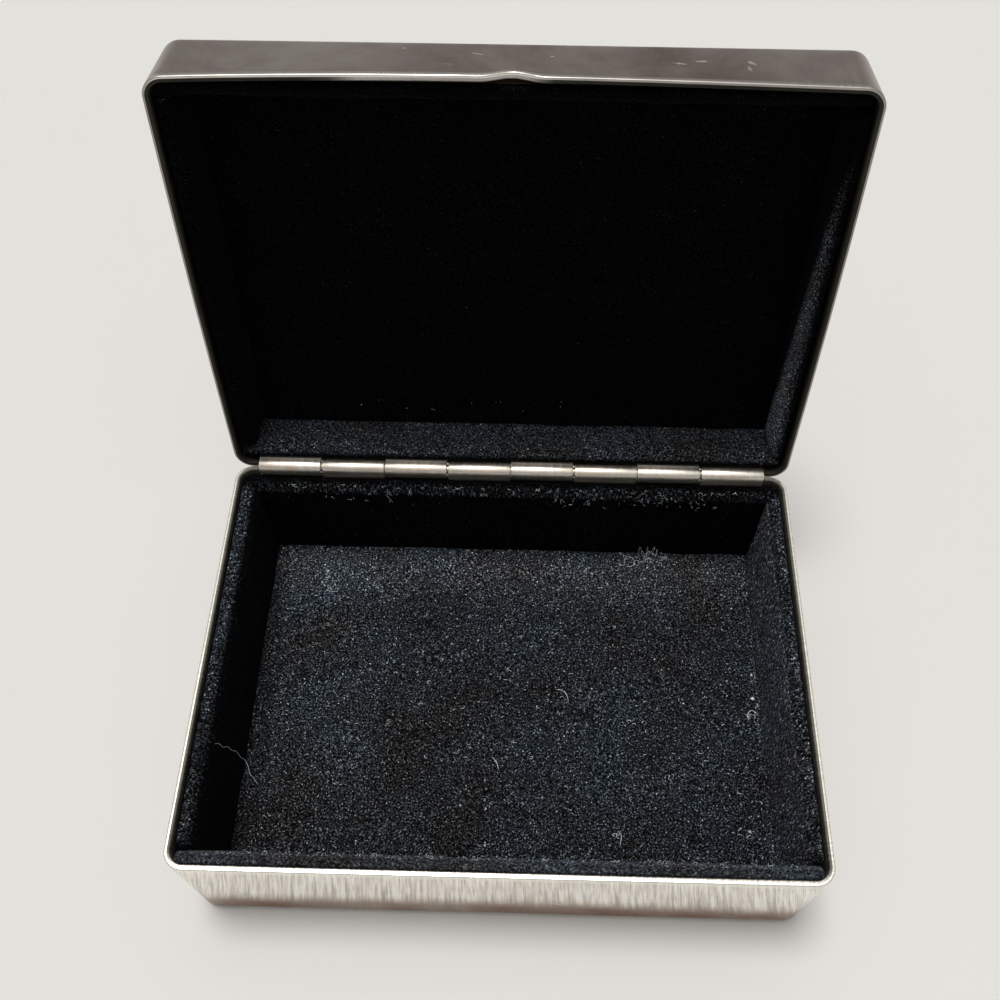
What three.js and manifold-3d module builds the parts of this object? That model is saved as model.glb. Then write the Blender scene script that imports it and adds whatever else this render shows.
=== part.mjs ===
// Trinket box of sheet metal: a base and a lid joined by a barrel hinge along the back, both
// lined with velvet over card. Millimetres, +X to the right, +Y to the hinge, +Z up. The
// origin is the centre of the underside. The lid is drawn open, leaning back on its stop.

import * as THREE from 'three';
import { mergeVertices } from 'three/addons/utils/BufferGeometryUtils.js';
import Module from 'manifold-3d';

const wasm = await Module();
wasm.setup();

// Outside of the box
const width = 100;
const depth = 72.5;
const baseHeight = 26;
const lidHeight = 12.5;
const sheet = 0.95;
const cornerRadius = 3.2;
const baseEdgeRadius = 2.5;
const lidEdgeRadius = 1.5;
const rimChamfer = 0.15;
const rimGap = 0.2;

// Free edge of the lid: its walls have sprung outwards, and the front has a thumb notch
const frontBow = 0.8;
const sideBow = 0.25;
const bowSkew = 0.85;
const notchWidth = 9;
const notchDepth = 1.2;
const notchFade = 4;

// Hinge: the axis runs along X, just inside the back and just above the rim of the base, so
// that the back of the lid meets the back edge of the base a little past upright
const openAngle = 101.1;
const axisInset = 0.2;
const axisRise = 0.3;
const barrelRadius = 1.38;
const leafThickness = 0.48;
const pinRadius = 0.85;
const knuckleCount = 8;
const knucklePitch = 11.45;
const knuckleGap = 0.22;
const leafEndPlay = 0.1;
const barrelClearance = 0.25;
const baseLeafHeight = 11;
const lidLeafHeight = 8;

// Lining: a card in a velvet cover on the floor and on each wall
const liningRecess = 0.8;
const velvetFace = 0.95;
const velvetBack = 0.35;
const velvetEdge = 0.6;
const cardGap = 0.06;
const glueGap = 0.1;
const creaseGap = 0.1;
const cornerEase = 0.25;
const shoulder = 0.8;
const faceEdgeShare = 0.45; // of a strip's thickness, at most, that the edges of its face take
const edgesShare = 0.95; // of a strip's thickness, at most, that its rounded edges take in all
const padThickness = 2.7;
const padCorner = 1.2;
const frontLining = 2.8;
const leftLining = 2.9;
const rightLining = 2.2;
const rearLining = 1.9;

const axisY = depth / 2 - axisInset;
const axisZ = baseHeight + axisRise;
const barrelLength = knuckleCount * knucklePitch;
const innerX = width / 2 - sheet;
const innerY = depth / 2 - sheet;
const innerCorner = cornerRadius - sheet;
const leafFace = axisY - barrelRadius;

const steel = { color: 0xb4b0aa, roughness: 0.38, metalness: 1 };
const warmSteel = { color: 0xb8ada0, roughness: 0.3, metalness: 1 };
const wire = { color: 0x8d857b, roughness: 0.45, metalness: 1 };
const velvet = { color: 0x0b0d12, roughness: 1, metalness: 0 };
const card = { color: 0x8a7658, roughness: 0.95, metalness: 0 };

// Facets: steps in each quarter round, and the stops along the sides of the lid as fractions
// of a side, which are closer together across the notch
const arcSteps = 7;
const edgeSteps = 5;
const planArcSteps = 4;
const notchSteps = 14;
const knuckleSegments = 12;
const pinSegments = 24;
const sideStops = spread(0, 1);
const notchReach = (0.5 * notchWidth) / (width - 2 * cornerRadius);
const notchStops = Array.from({ length: notchSteps + 1 }, (_, i) => (
  0.5 + notchReach * ((2 * i) / notchSteps - 1)
));
const frontStops = [...spread(0, notchStops[0]), ...notchStops, ...spread(notchStops[notchSteps], 1)];
const plainSides = [[], [], [], []];
const weldDistance = 1e-5;
const lidSides = [[], sideStops, frontStops, sideStops];
const [leftSide, frontSide, rightSide] = [1, 2, 3];

// Five even stops between two fractions
function spread(from, to) {
  return [1, 2, 3, 4, 5].map((i) => from + (to - from) * (i / 6));
}

function part(name, geometry, finish) {
  const mesh = new THREE.Mesh(geometry, new THREE.MeshStandardMaterial(finish));
  mesh.name = name;
  return mesh;
}

// A closed geometry with merged vertices, as a solid that can be cut and joined
function solidOf(geometry) {
  const bare = geometry.clone();
  bare.deleteAttribute('normal');
  bare.deleteAttribute('uv');
  const merged = mergeVertices(bare, weldDistance);
  return new wasm.Manifold(new wasm.Mesh({
    numProp: 3,
    vertProperties: new Float32Array(merged.attributes.position.array),
    triVerts: new Uint32Array(merged.index.array),
  }));
}

function geometryOf(solid) {
  const mesh = solid.getMesh();
  const geometry = new THREE.BufferGeometry();
  geometry.setAttribute('position', new THREE.BufferAttribute(mesh.vertProperties, 3));
  geometry.setIndex(new THREE.BufferAttribute(mesh.triVerts, 1));
  geometry.computeVertexNormals();
  return geometry;
}

// A box between two corners
function block(low, high) {
  const size = high.map((value, i) => value - low[i]);
  const box = new THREE.BoxGeometry(...size);
  box.translate(...low.map((value, i) => value + size[i] / 2));
  return box;
}

// Points round a rectangle between two corners, anticlockwise. Its corners are rounded: radii
// starts with the one at high x and high y and goes anticlockwise. stops has the extra points
// of its sides, starting with the one at high y. Each point has its outward normal and, on a
// side, how far along that side it lies from 0 to 1.
function roundedOutline([lowX, lowY], [highX, highY], radii, steps, stops) {
  const corners = [[highX, highY], [lowX, highY], [lowX, lowY], [highX, lowY]];
  const arcs = corners.map(([x, y], turn) => {
    const radius = radii[turn];
    const centreX = x + (x === highX ? -radius : radius);
    const centreY = y + (y === highY ? -radius : radius);
    const centre = new THREE.Vector2(centreX, centreY);
    return Array.from({ length: steps + 1 }, (_, i) => {
      const angle = (Math.PI / 2) * (turn + i / steps);
      const normal = new THREE.Vector2(Math.cos(angle), Math.sin(angle));
      return { at: centre.clone().addScaledVector(normal, radius), normal, side: -1, along: 0 };
    });
  });
  return arcs.flatMap((arc, turn) => {
    const start = arc[steps];
    const end = arcs[(turn + 1) % 4][0];
    const between = stops[turn].map((along) => (
      { at: start.at.clone().lerp(end.at, along), normal: start.normal, side: turn, along }
    ));
    return [...arc, ...between];
  });
}

// A closed skin through rings of one outline. A section point is [distance in from the
// outline, height]; the first and last rings are closed flat. shape may move each vertex.
function loft(outline, section, shape = (vertex) => vertex) {
  const positions = [];
  const index = [];
  const count = outline.length;
  const middle = outline.reduce((sum, point) => sum.add(point.at), new THREE.Vector2());
  middle.divideScalar(count);
  section.forEach(([inset, height]) => {
    outline.forEach((point) => {
      const at = point.at.clone().addScaledVector(point.normal, -inset);
      positions.push(...shape(new THREE.Vector3(at.x, at.y, height), point));
    });
  });
  for (let ring = 0; ring + 1 < section.length; ring += 1) {
    for (let i = 0; i < count; i += 1) {
      const a = ring * count + i;
      const b = ring * count + (i + 1) % count;
      index.push(a, b, b + count, a, b + count, a + count);
    }
  }
  const lastRing = (section.length - 1) * count;
  const firstMiddle = section.length * count;
  positions.push(middle.x, middle.y, section[0][1]);
  positions.push(middle.x, middle.y, section[section.length - 1][1]);
  for (let i = 0; i < count; i += 1) {
    const next = (i + 1) % count;
    index.push(firstMiddle, next, i, firstMiddle + 1, lastRing + i, lastRing + next);
  }
  const geometry = new THREE.BufferGeometry();
  geometry.setAttribute('position', new THREE.Float32BufferAttribute(positions, 3));
  geometry.setIndex(index);
  geometry.computeVertexNormals();
  return geometry;
}

// A quarter round from a flat end to a straight wall, as section points at these heights
function quarterRound(radius, inset) {
  return Array.from({ length: edgeSteps + 1 }, (_, i) => {
    const angle = (Math.PI / 2) * (i / edgeSteps);
    return [inset + radius * (1 - Math.sin(angle)), inset + radius * (1 - Math.cos(angle))];
  });
}

// Section of a pressed tray, from the middle of its outside, over the rim, to the middle of
// its inside: a quarter round at the foot of the wall, outside and in
function traySection(height, edgeRadius) {
  return [
    ...quarterRound(edgeRadius, 0),
    [0, height - rimChamfer],
    [rimChamfer, height],
    [sheet - rimChamfer, height],
    [sheet, height - rimChamfer],
    ...quarterRound(edgeRadius - sheet, sheet).reverse(),
  ];
}

// A rectangle centred on the origin, its corners alike
function centredOutline(lengthX, lengthY, radius, steps, stops) {
  const high = [lengthX / 2, lengthY / 2];
  const low = high.map((value) => -value);
  return roundedOutline(low, high, [radius, radius, radius, radius], steps, stops);
}

function baseShell() {
  const outline = centredOutline(width, depth, cornerRadius, arcSteps, plainSides);
  const tray = solidOf(loft(outline, traySection(baseHeight, baseEdgeRadius)));
  const cut = solidOf(block(
    [-barrelLength / 2 - barrelClearance, leafFace, axisZ - barrelRadius - barrelClearance],
    [barrelLength / 2 + barrelClearance, depth, baseHeight + sheet],
  ));
  return part('base_shell', geometryOf(tray.subtract(cut)), steel);
}

// How far a point of the lid's free edge has sprung outwards: a half wave along the front,
// skewed to the left, and along the two ends
function springAt(point) {
  if (point.side === frontSide) {
    return frontBow * Math.sin(Math.PI * point.along ** bowSkew);
  }
  return point.side === leftSide || point.side === rightSide
    ? sideBow * Math.sin(Math.PI * point.along)
    : 0;
}

// How high the thumb notch lifts a vertex of the front wall: a rounded hump, fading upwards
function notchAt(vertex, point) {
  const reach = Math.min(1, Math.abs(vertex.x) / (notchWidth / 2));
  const fade = Math.max(0, 1 - vertex.z / notchFade);
  return point.side === frontSide ? notchDepth * fade * Math.cos(reach * Math.PI / 2) ** 2 : 0;
}

// The lid as it lies when closed, in its own frame: z is 0 at the rim and grows to the top
function lidShell() {
  const outline = centredOutline(width, depth, cornerRadius, arcSteps, lidSides);
  const section = traySection(lidHeight, lidEdgeRadius)
    .map(([inset, height]) => [inset, lidHeight - height])
    .reverse();
  const shape = (vertex, point) => {
    const spring = springAt(point) * (1 - vertex.z / lidHeight);
    const { x, y } = point.normal;
    return [vertex.x + x * spring, vertex.y + y * spring, vertex.z + notchAt(vertex, point)];
  };
  const axisInLid = axisRise - rimGap;
  const cut = solidOf(block(
    [-barrelLength / 2 - barrelClearance, leafFace, -sheet],
    [barrelLength / 2 + barrelClearance, depth, axisInLid + barrelRadius + barrelClearance],
  ));
  const tray = solidOf(loft(outline, section, shape));
  return part('lid_shell', geometryOf(tray.subtract(cut)), steel);
}

// One rolled knuckle, along X, centred on the axis
function knuckle(start, length) {
  const ring = new THREE.Shape();
  ring.absarc(0, 0, barrelRadius, 0, Math.PI * 2);
  const bore = new THREE.Path();
  bore.absarc(0, 0, barrelRadius - leafThickness, 0, Math.PI * 2);
  ring.holes.push(bore);
  const settings = { depth: length, bevelEnabled: false, curveSegments: knuckleSegments };
  const tube = new THREE.ExtrudeGeometry(ring, settings);
  tube.rotateY(Math.PI / 2);
  tube.translate(start, 0, 0);
  return tube;
}

// A leaf with its knuckles, in the frame of the hinge axis. up is 1 for the lid's leaf, which
// rises inside the back of the lid, and -1 for the base's; first is its first knuckle's place.
function hingeLeaf(name, first, up, height, shift) {
  const back = -barrelRadius + leafThickness;
  const root = up * (barrelRadius + barrelClearance);
  const span = (a, b) => [Math.min(a, b), Math.max(a, b)];
  const [low, high] = span(root, up * height);
  let leaf = solidOf(block(
    [-barrelLength / 2 + knuckleGap + shift, -barrelRadius, low],
    [barrelLength / 2 - knuckleGap + shift, back, high],
  ));
  for (let i = first; i < knuckleCount; i += 2) {
    const start = -barrelLength / 2 + i * knucklePitch + knuckleGap / 2 + shift;
    const length = knucklePitch - knuckleGap;
    const [tailLow, tailHigh] = span(0, root + up * leafThickness);
    const tail = block([start, -barrelRadius, tailLow], [start + length, back, tailHigh]);
    leaf = leaf.add(solidOf(knuckle(start, length))).add(solidOf(tail));
  }
  return part(name, geometryOf(leaf), warmSteel);
}

function hingePin() {
  const length = barrelLength + 2 * leafEndPlay;
  const pin = new THREE.CylinderGeometry(pinRadius, pinRadius, length, pinSegments);
  pin.rotateZ(Math.PI / 2);
  return part('hinge_pin', pin, wire);
}

// Plan of a wall strip, from its back to its face along +y. Its back corners are rounded so
// that it sits in the corners of the box.
function stripPlan(length, back, face, corner) {
  const faceRadius = Math.min(shoulder, faceEdgeShare * (face - back));
  const backRadius = Math.min(corner, edgesShare * (face - back) - faceRadius);
  const radii = [faceRadius, faceRadius, backRadius, backRadius];
  return roundedOutline([-length / 2, back], [length / 2, face], radii, planArcSteps, plainSides);
}

function panelPlan(lengthX, lengthY, radius) {
  return centredOutline(lengthX, lengthY, radius, planArcSteps, plainSides);
}

// A velvet cover with its card inside, open at z = 0 and with rounded shoulders at the top
function coveredCard(name, cover, cavity, filling, height) {
  const shoulders = quarterRound(shoulder, 0).map(([inset, drop]) => [inset, height - drop]);
  const outer = solidOf(loft(cover, [[0, 0], ...shoulders.reverse()]));
  const inner = solidOf(loft(cavity, [[0, -velvetFace], [0, height - velvetFace]]));
  const board = loft(filling, [[0, 0], [0, height - velvetFace - cardGap]]);
  const group = new THREE.Group();
  group.add(part(`${name}_velvet`, geometryOf(outer.subtract(inner)), velvet));
  group.add(part(`${name}_card`, board, card));
  return group;
}

function wallStrip(name, length, thickness, height, corner) {
  const edge = velvetEdge + cardGap;
  const back = velvetBack + cardGap;
  const face = thickness - velvetFace;
  return coveredCard(
    name,
    stripPlan(length, 0, thickness, corner),
    stripPlan(length - 2 * velvetEdge, velvetBack, face, corner),
    stripPlan(length - 2 * edge, back, face - cardGap, corner),
    height,
  );
}

function panelPad(name, lengthX, lengthY) {
  const edge = velvetEdge + cardGap;
  return coveredCard(
    name,
    panelPlan(lengthX, lengthY, padCorner),
    panelPlan(lengthX - 2 * velvetEdge, lengthY - 2 * velvetEdge, velvetEdge),
    panelPlan(lengthX - 2 * edge, lengthY - 2 * edge, velvetEdge),
    padThickness,
  );
}

// The lining of one half of the box. The walls of that half rise from floorAt to rimAt, and
// facing is 1 where the pad on the sheet faces up and -1 where it faces down.
function lining(half, panel, floorAt, rimAt, facing) {
  const group = new THREE.Group();
  const wallFoot = floorAt + facing * (baseEdgeRadius - sheet);
  const wallTop = rimAt - facing * liningRecess;
  const height = Math.abs(wallTop - wallFoot);
  const rearBack = leafFace - glueGap;
  const frontBack = -innerY + glueGap;
  const frontFace = frontBack + frontLining;
  const rearFace = rearBack - rearLining;
  const leftFace = -innerX + glueGap + leftLining;
  const rightFace = innerX - glueGap - rightLining;
  const place = (strip, x, y, turn) => {
    const holder = new THREE.Group();
    holder.add(strip);
    strip.rotation.y = facing > 0 ? 0 : Math.PI;
    holder.rotation.z = turn;
    holder.position.set(x, y, wallFoot);
    group.add(holder);
  };
  const longStrip = 2 * (innerX - glueGap - cornerEase);
  const crossLength = rearFace - frontFace - 2 * creaseGap;
  const crossMiddle = (rearFace + frontFace) / 2;
  const corner = innerCorner - glueGap;
  place(wallStrip(`${half}_front`, longStrip, frontLining, height, corner), 0, frontBack, 0);
  place(wallStrip(`${half}_rear`, longStrip, rearLining, height, corner), 0, rearBack, Math.PI);
  place(wallStrip(`${half}_left`, crossLength, leftLining, height, shoulder),
    -innerX + glueGap, crossMiddle, -Math.PI / 2);
  place(wallStrip(`${half}_right`, crossLength, rightLining, height, shoulder),
    innerX - glueGap, crossMiddle, Math.PI / 2);
  const pad = panelPad(`${half}_${panel}`, rightFace - leftFace - 2 * creaseGap, crossLength);
  pad.rotation.x = facing > 0 ? 0 : Math.PI;
  pad.position.set((rightFace + leftFace) / 2, crossMiddle, floorAt + facing * glueGap);
  group.add(pad);
  return group;
}

const trinketBox = new THREE.Group();

trinketBox.add(baseShell());
trinketBox.add(lining('base', 'floor', sheet, baseHeight, 1));

const hinge = new THREE.Group();
hinge.position.set(0, axisY, axisZ);
hinge.add(hingeLeaf('base_hinge_leaf', 1, -1, baseLeafHeight, leafEndPlay / 2));
hinge.add(hingePin());
trinketBox.add(hinge);

const lid = new THREE.Group();
lid.rotation.x = -THREE.MathUtils.degToRad(openAngle);
hinge.add(lid);
lid.add(hingeLeaf('lid_hinge_leaf', 0, 1, lidLeafHeight, -leafEndPlay / 2));

const closedLid = new THREE.Group();
closedLid.position.set(0, -axisY, rimGap - axisRise);
closedLid.add(lidShell());
closedLid.add(lining('lid', 'top', lidHeight - sheet, 0, -1));
lid.add(closedLid);

export default trinketBox;
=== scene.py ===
# Trinket box of brushed sheet metal, open on its hinge and lined with black velvet.
# Lengths in the dictionaries are millimetres; meshes are made in metres, in the CAD's frame.
import math
import bpy
import numpy as np
from mathutils import Matrix, Vector


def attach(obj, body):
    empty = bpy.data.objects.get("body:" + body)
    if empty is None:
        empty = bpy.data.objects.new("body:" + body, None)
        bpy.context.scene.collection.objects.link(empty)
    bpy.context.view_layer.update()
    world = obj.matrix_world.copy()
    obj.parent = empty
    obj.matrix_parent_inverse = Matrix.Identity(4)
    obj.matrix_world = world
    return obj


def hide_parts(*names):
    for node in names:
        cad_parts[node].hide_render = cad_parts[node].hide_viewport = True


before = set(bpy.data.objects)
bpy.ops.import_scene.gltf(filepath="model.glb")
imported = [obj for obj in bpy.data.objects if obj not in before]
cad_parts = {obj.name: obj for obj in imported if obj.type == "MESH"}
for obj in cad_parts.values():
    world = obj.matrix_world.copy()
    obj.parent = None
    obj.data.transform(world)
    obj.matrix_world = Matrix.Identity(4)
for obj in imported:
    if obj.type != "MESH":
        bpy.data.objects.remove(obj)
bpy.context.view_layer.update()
mm = 0.001
print("frame loaded,", len(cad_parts), "nodes")

# Camera of the photograph: its place, its three axes, its lens and the small shift of its frame
cameraView = {
    "place": (3.18, -73.21, 187.13),
    "right": (0.99968160, 0.02522560, 0.00061173),
    "up": (-0.02183396, 0.85261091, 0.52208994),
    "forward": (-0.01264847, 0.52193706, -0.85289021),
    "sensor": 36.0, "lens": 38.385, "shift": (-0.01352, 0.02152),
    "nearest": 5.0, "furthest": 20000.0,
}


def linked(name, data):
    obj = bpy.data.objects.new(name, data)
    bpy.context.collection.objects.link(obj)
    return obj


def makeCamera(view):
    data = bpy.data.cameras.new("photoCamera")
    data.sensor_width, data.lens = view["sensor"], view["lens"]
    data.shift_x, data.shift_y = view["shift"]
    data.clip_start, data.clip_end = view["nearest"] * mm, view["furthest"] * mm
    camera = linked("photoCamera", data)
    back = [-x for x in view["forward"]]
    turn = Matrix((view["right"], view["up"], back)).transposed().to_4x4()
    camera.matrix_world = Matrix.Translation([x * mm for x in view["place"]]) @ turn
    bpy.context.scene.camera = camera


makeCamera(cameraView)


# Node helpers: fill joins or sets inputs, and add makes a node and fills it. Both give the
# node's outputs.
def fill(tree, made, inputs):
    for key, value in inputs.items():
        if isinstance(value, bpy.types.NodeSocket):
            tree.links.new(value, made.inputs[key])
        else:
            made.inputs[key].default_value = value
    return made.outputs


def add(tree, kind, inputs, **settings):
    made = tree.nodes.new("ShaderNode" + kind)
    for key, value in settings.items():
        setattr(made, key, value)
    return fill(tree, made, inputs)


def calc(tree, operation, *values, clamp=False):
    return add(tree, "Math", dict(enumerate(values)), operation=operation, use_clamp=clamp)[0]


def times(tree, a, b, clamp=False):
    return calc(tree, "MULTIPLY", a, b, clamp=clamp)


def plus(tree, a, b):
    return calc(tree, "ADD", a, b)


def minus(tree, a, b, clamp=False):
    return calc(tree, "SUBTRACT", a, b, clamp=clamp)


def noise(tree, spot, **values):
    return add(tree, "TexNoise", {"Vector": spot, **values})["Fac"]


def stretch(tree, spot, factors):
    return add(tree, "VectorMath", {0: spot, 1: factors}, operation="MULTIPLY")[0]


def objectSpot(tree):
    return add(tree, "TexCoord", {})["Object"]


def mask(tree, name):
    return add(tree, "Attribute", {}, attribute_name=name)["Fac"]


# The ramps: the two values between which each one runs, and what it gives at each
ramps = {
    "lines": (0.36, 0.64, 0, 1), "clouds": (0.36, 0.66, 0, 1), "spots": (0.62, 0.74, 0, 1),
    "scratch": (0.0, 0.006, 1, 0), "scratchPatch": (0.6, 0.68, 0, 1), "uneven": (0.35, 0.65, 0.72, 1.1),
    "drift": (0.34, 0.66, 0, 1), "keptSpecks": (0.7, 1.0, 0, 1), "mark": (0.45, 1.0, 1, 0),
    "footReflectionClouds": (0, 1, 0.78, 1.0), "driftLevel": (0, 1, 0.78, 1.25),
    "driftRed": (0, 1, 0.97, 0.80), "driftBlue": (0, 1, 1.05, 1.22), "specksInPaintedLight": (0, 1, 0.05, 0.8),
    "threadTone": (0.4, 0.6, 0, 1), "backdropTone": (0, 1, 0.97, 1), "backdropHeight": (0, 1, 0, 1),
}


def remap(tree, value, ends, **settings):
    inputs = dict(zip(("From Min", "From Max", "To Min", "To Max"), ends))
    return add(tree, "MapRange", {"Value": value, **inputs}, **settings)[0]


def ramp(tree, value, name, **settings):
    return remap(tree, value, ramps[name], **settings)


# Blend of two colours, each a socket or three numbers
def blendColor(tree, factor, a, b, mode="MIX"):
    a, b = [(*color, 1) if isinstance(color, tuple) else color for color in (a, b)]
    return add(tree, "Mix", {0: factor, 6: a, 7: b}, data_type="RGBA", blend_type=mode)[2]


def mixedColor(tree, red, green, blue):
    return add(tree, "CombineColor", {0: red, 1: green, 2: blue})[0]


effects = {}


# A new shader node group, kept in effects. Its input Place is a vector, and all its other
# sockets are single values.
def newGroup(name, inputs, outputs):
    group = effects[name] = bpy.data.node_groups.new(name, "ShaderNodeTree")
    for direction, names in (("INPUT", inputs), ("OUTPUT", outputs)):
        for socketName in names:
            kind = "NodeSocketVector" if socketName == "Place" else "NodeSocketFloat"
            group.interface.new_socket(socketName, in_out=direction, socket_type=kind)
    start = group.nodes.new("NodeGroupInput")
    return group, start.outputs, group.nodes.new("NodeGroupOutput")


# Brush lines: noise stretched along the second coordinate, fine and coarse
def makeBrushGroup():
    group, given, end = newGroup("brushLines", ("Place", "Fineness", "Length"), ("Lines",))
    coarseSize, fineShare, coarseShare = 0.45, 0.4, 0.6

    def stretched(size):
        factors = add(group, "CombineXYZ", {
            "X": times(group, given["Fineness"], size), "Y": times(group, given["Length"], size), "Z": 1.0})
        spot = stretch(group, given["Place"], factors[0])
        return noise(group, spot, Scale=1.0, Detail=2.0, Roughness=0.6)
    fine, coarse = times(group, stretched(1.0), fineShare), times(group, stretched(coarseSize), coarseShare)
    fill(group, end, {"Lines": ramp(group, plus(group, fine, coarse), "lines")})


# Cloudy patches of tarnish, and small spots
def makeTarnishGroup():
    group, given, end = newGroup("tarnish", ("Place", "Size", "Spots"), ("Clouds", "Spots"))
    spotFineness = 14.0
    cloud = noise(group, given["Place"], Scale=given["Size"], Detail=4.0, Roughness=0.62, Distortion=0.4)
    spot = noise(group, given["Place"], Scale=times(group, given["Size"], spotFineness), Detail=2.0)
    fill(group, end, {"Clouds": ramp(group, cloud, "clouds"),
                      "Spots": times(group, ramp(group, spot, "spots"), given["Spots"])})


# Scratches: thin lines where a stretched, turned noise crosses its middle value, kept to patches
def makeScratchGroup():
    group, given, end = newGroup("scratches", ("Place", "Amount", "Turn"), ("Lines",))
    alongAcross = (30.0, 420.0, 30.0)
    turned = add(group, "VectorRotate", {"Vector": given["Place"], "Angle": given["Turn"]})[0]
    wave = noise(group, stretch(group, turned, alongAcross), Scale=1.0, Detail=1.0)
    line = ramp(group, calc(group, "ABSOLUTE", minus(group, wave, 0.5)), "scratch")
    patch = ramp(group, noise(group, given["Place"], Scale=130.0, Detail=1.0), "scratchPatch")
    fill(group, end, {"Lines": times(group, times(group, line, patch), given["Amount"])})


# Worn edges, and on the lid's rim a painted highlight: the piece's own edge mask, made uneven by noise
def makeWearGroup():
    group, given, end = newGroup("edgeWearAndHighlight", ("Place", "Edge", "Amount"), ("WearAndHighlight",))
    uneven = ramp(group, noise(group, given["Place"], Scale=240.0, Detail=2.0), "uneven")
    worn = times(group, given["Edge"], uneven, clamp=True)
    fill(group, end, {"WearAndHighlight": times(group, worn, given["Amount"])})


# Velvet nap: fibre tips that catch the light among dark hollows, and slow drifts of the nap.
# A tip's brightness is e to the power of contrast * (noise - half).
def makeNapGroup():
    group, given, end = newGroup("velvetNap", ("Place", "Grain", "Contrast"), ("Tips", "Drift", "Height"))
    fine = noise(group, given["Place"], Scale=given["Grain"], Detail=2.0, Roughness=0.6, Distortion=0.6)
    drift = noise(group, given["Place"], Scale=75.0, Detail=3.0)
    tips = calc(group, "EXPONENT", times(group, minus(group, fine, 0.5), given["Contrast"]))
    fill(group, end, {"Tips": tips, "Drift": ramp(group, drift, "drift"), "Height": fine})


# Dust and lint specks: scattered cells, each a small dot of its own brightness
def makeSpeckGroup():
    group, given, end = newGroup("lintSpecks", ("Place", "Density", "Size"), ("Specks",))
    cell = add(group, "TexVoronoi", {"Vector": given["Place"], "Scale": given["Density"]})
    drawn = add(group, "SeparateColor", {"Color": cell["Color"]})[0]
    dot = calc(group, "LESS_THAN", cell["Distance"], given["Size"])
    fill(group, end, {"Specks": times(group, dot, ramp(group, drawn, "keptSpecks"))})


# One small mark: 1 within a ragged ellipse, turned about its middle
def makeMarkGroup():
    group, given, end = newGroup("smallMark", ("Place", "X", "Y", "Turn", "Length", "Width"), ("Mask",))
    raggedness = 1.6
    middle = add(group, "CombineXYZ", {"X": given["X"], "Y": given["Y"]})[0]
    away = add(group, "VectorMath", {0: given["Place"], 1: middle}, operation="SUBTRACT")[0]
    turned = add(group, "VectorRotate", {"Vector": away, "Angle": given["Turn"]})[0]
    parts = add(group, "SeparateXYZ", {"Vector": turned})
    long = calc(group, "DIVIDE", parts["X"], given["Length"])
    wide = calc(group, "DIVIDE", parts["Y"], given["Width"])
    reach = calc(group, "SQRT", plus(group, times(group, long, long), times(group, wide, wide)))
    rough = minus(group, noise(group, given["Place"], Scale=2200.0, Detail=2.0), 0.5)
    ragged = plus(group, reach, times(group, rough, raggedness))
    fill(group, end, {"Mask": ramp(group, ragged, "mark")})


for makeGroup in (makeBrushGroup, makeTarnishGroup, makeScratchGroup, makeWearGroup, makeNapGroup,
                  makeSpeckGroup, makeMarkGroup):
    makeGroup()
print("shader groups made")


def effect(tree, name, inputs):
    return add(tree, "Group", inputs, node_tree=effects[name])


def newMaterial(name, shaderValues):
    material = bpy.data.materials.new(name)
    material.use_nodes = True
    tree = material.node_tree
    shader = tree.nodes["Principled BSDF"]
    fill(tree, shader, shaderValues)
    return material, tree, shader


def addBump(tree, height, strength, distance):
    return add(tree, "Bump", {"Height": height, "Strength": strength, "Distance": distance * mm})[0]


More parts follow.
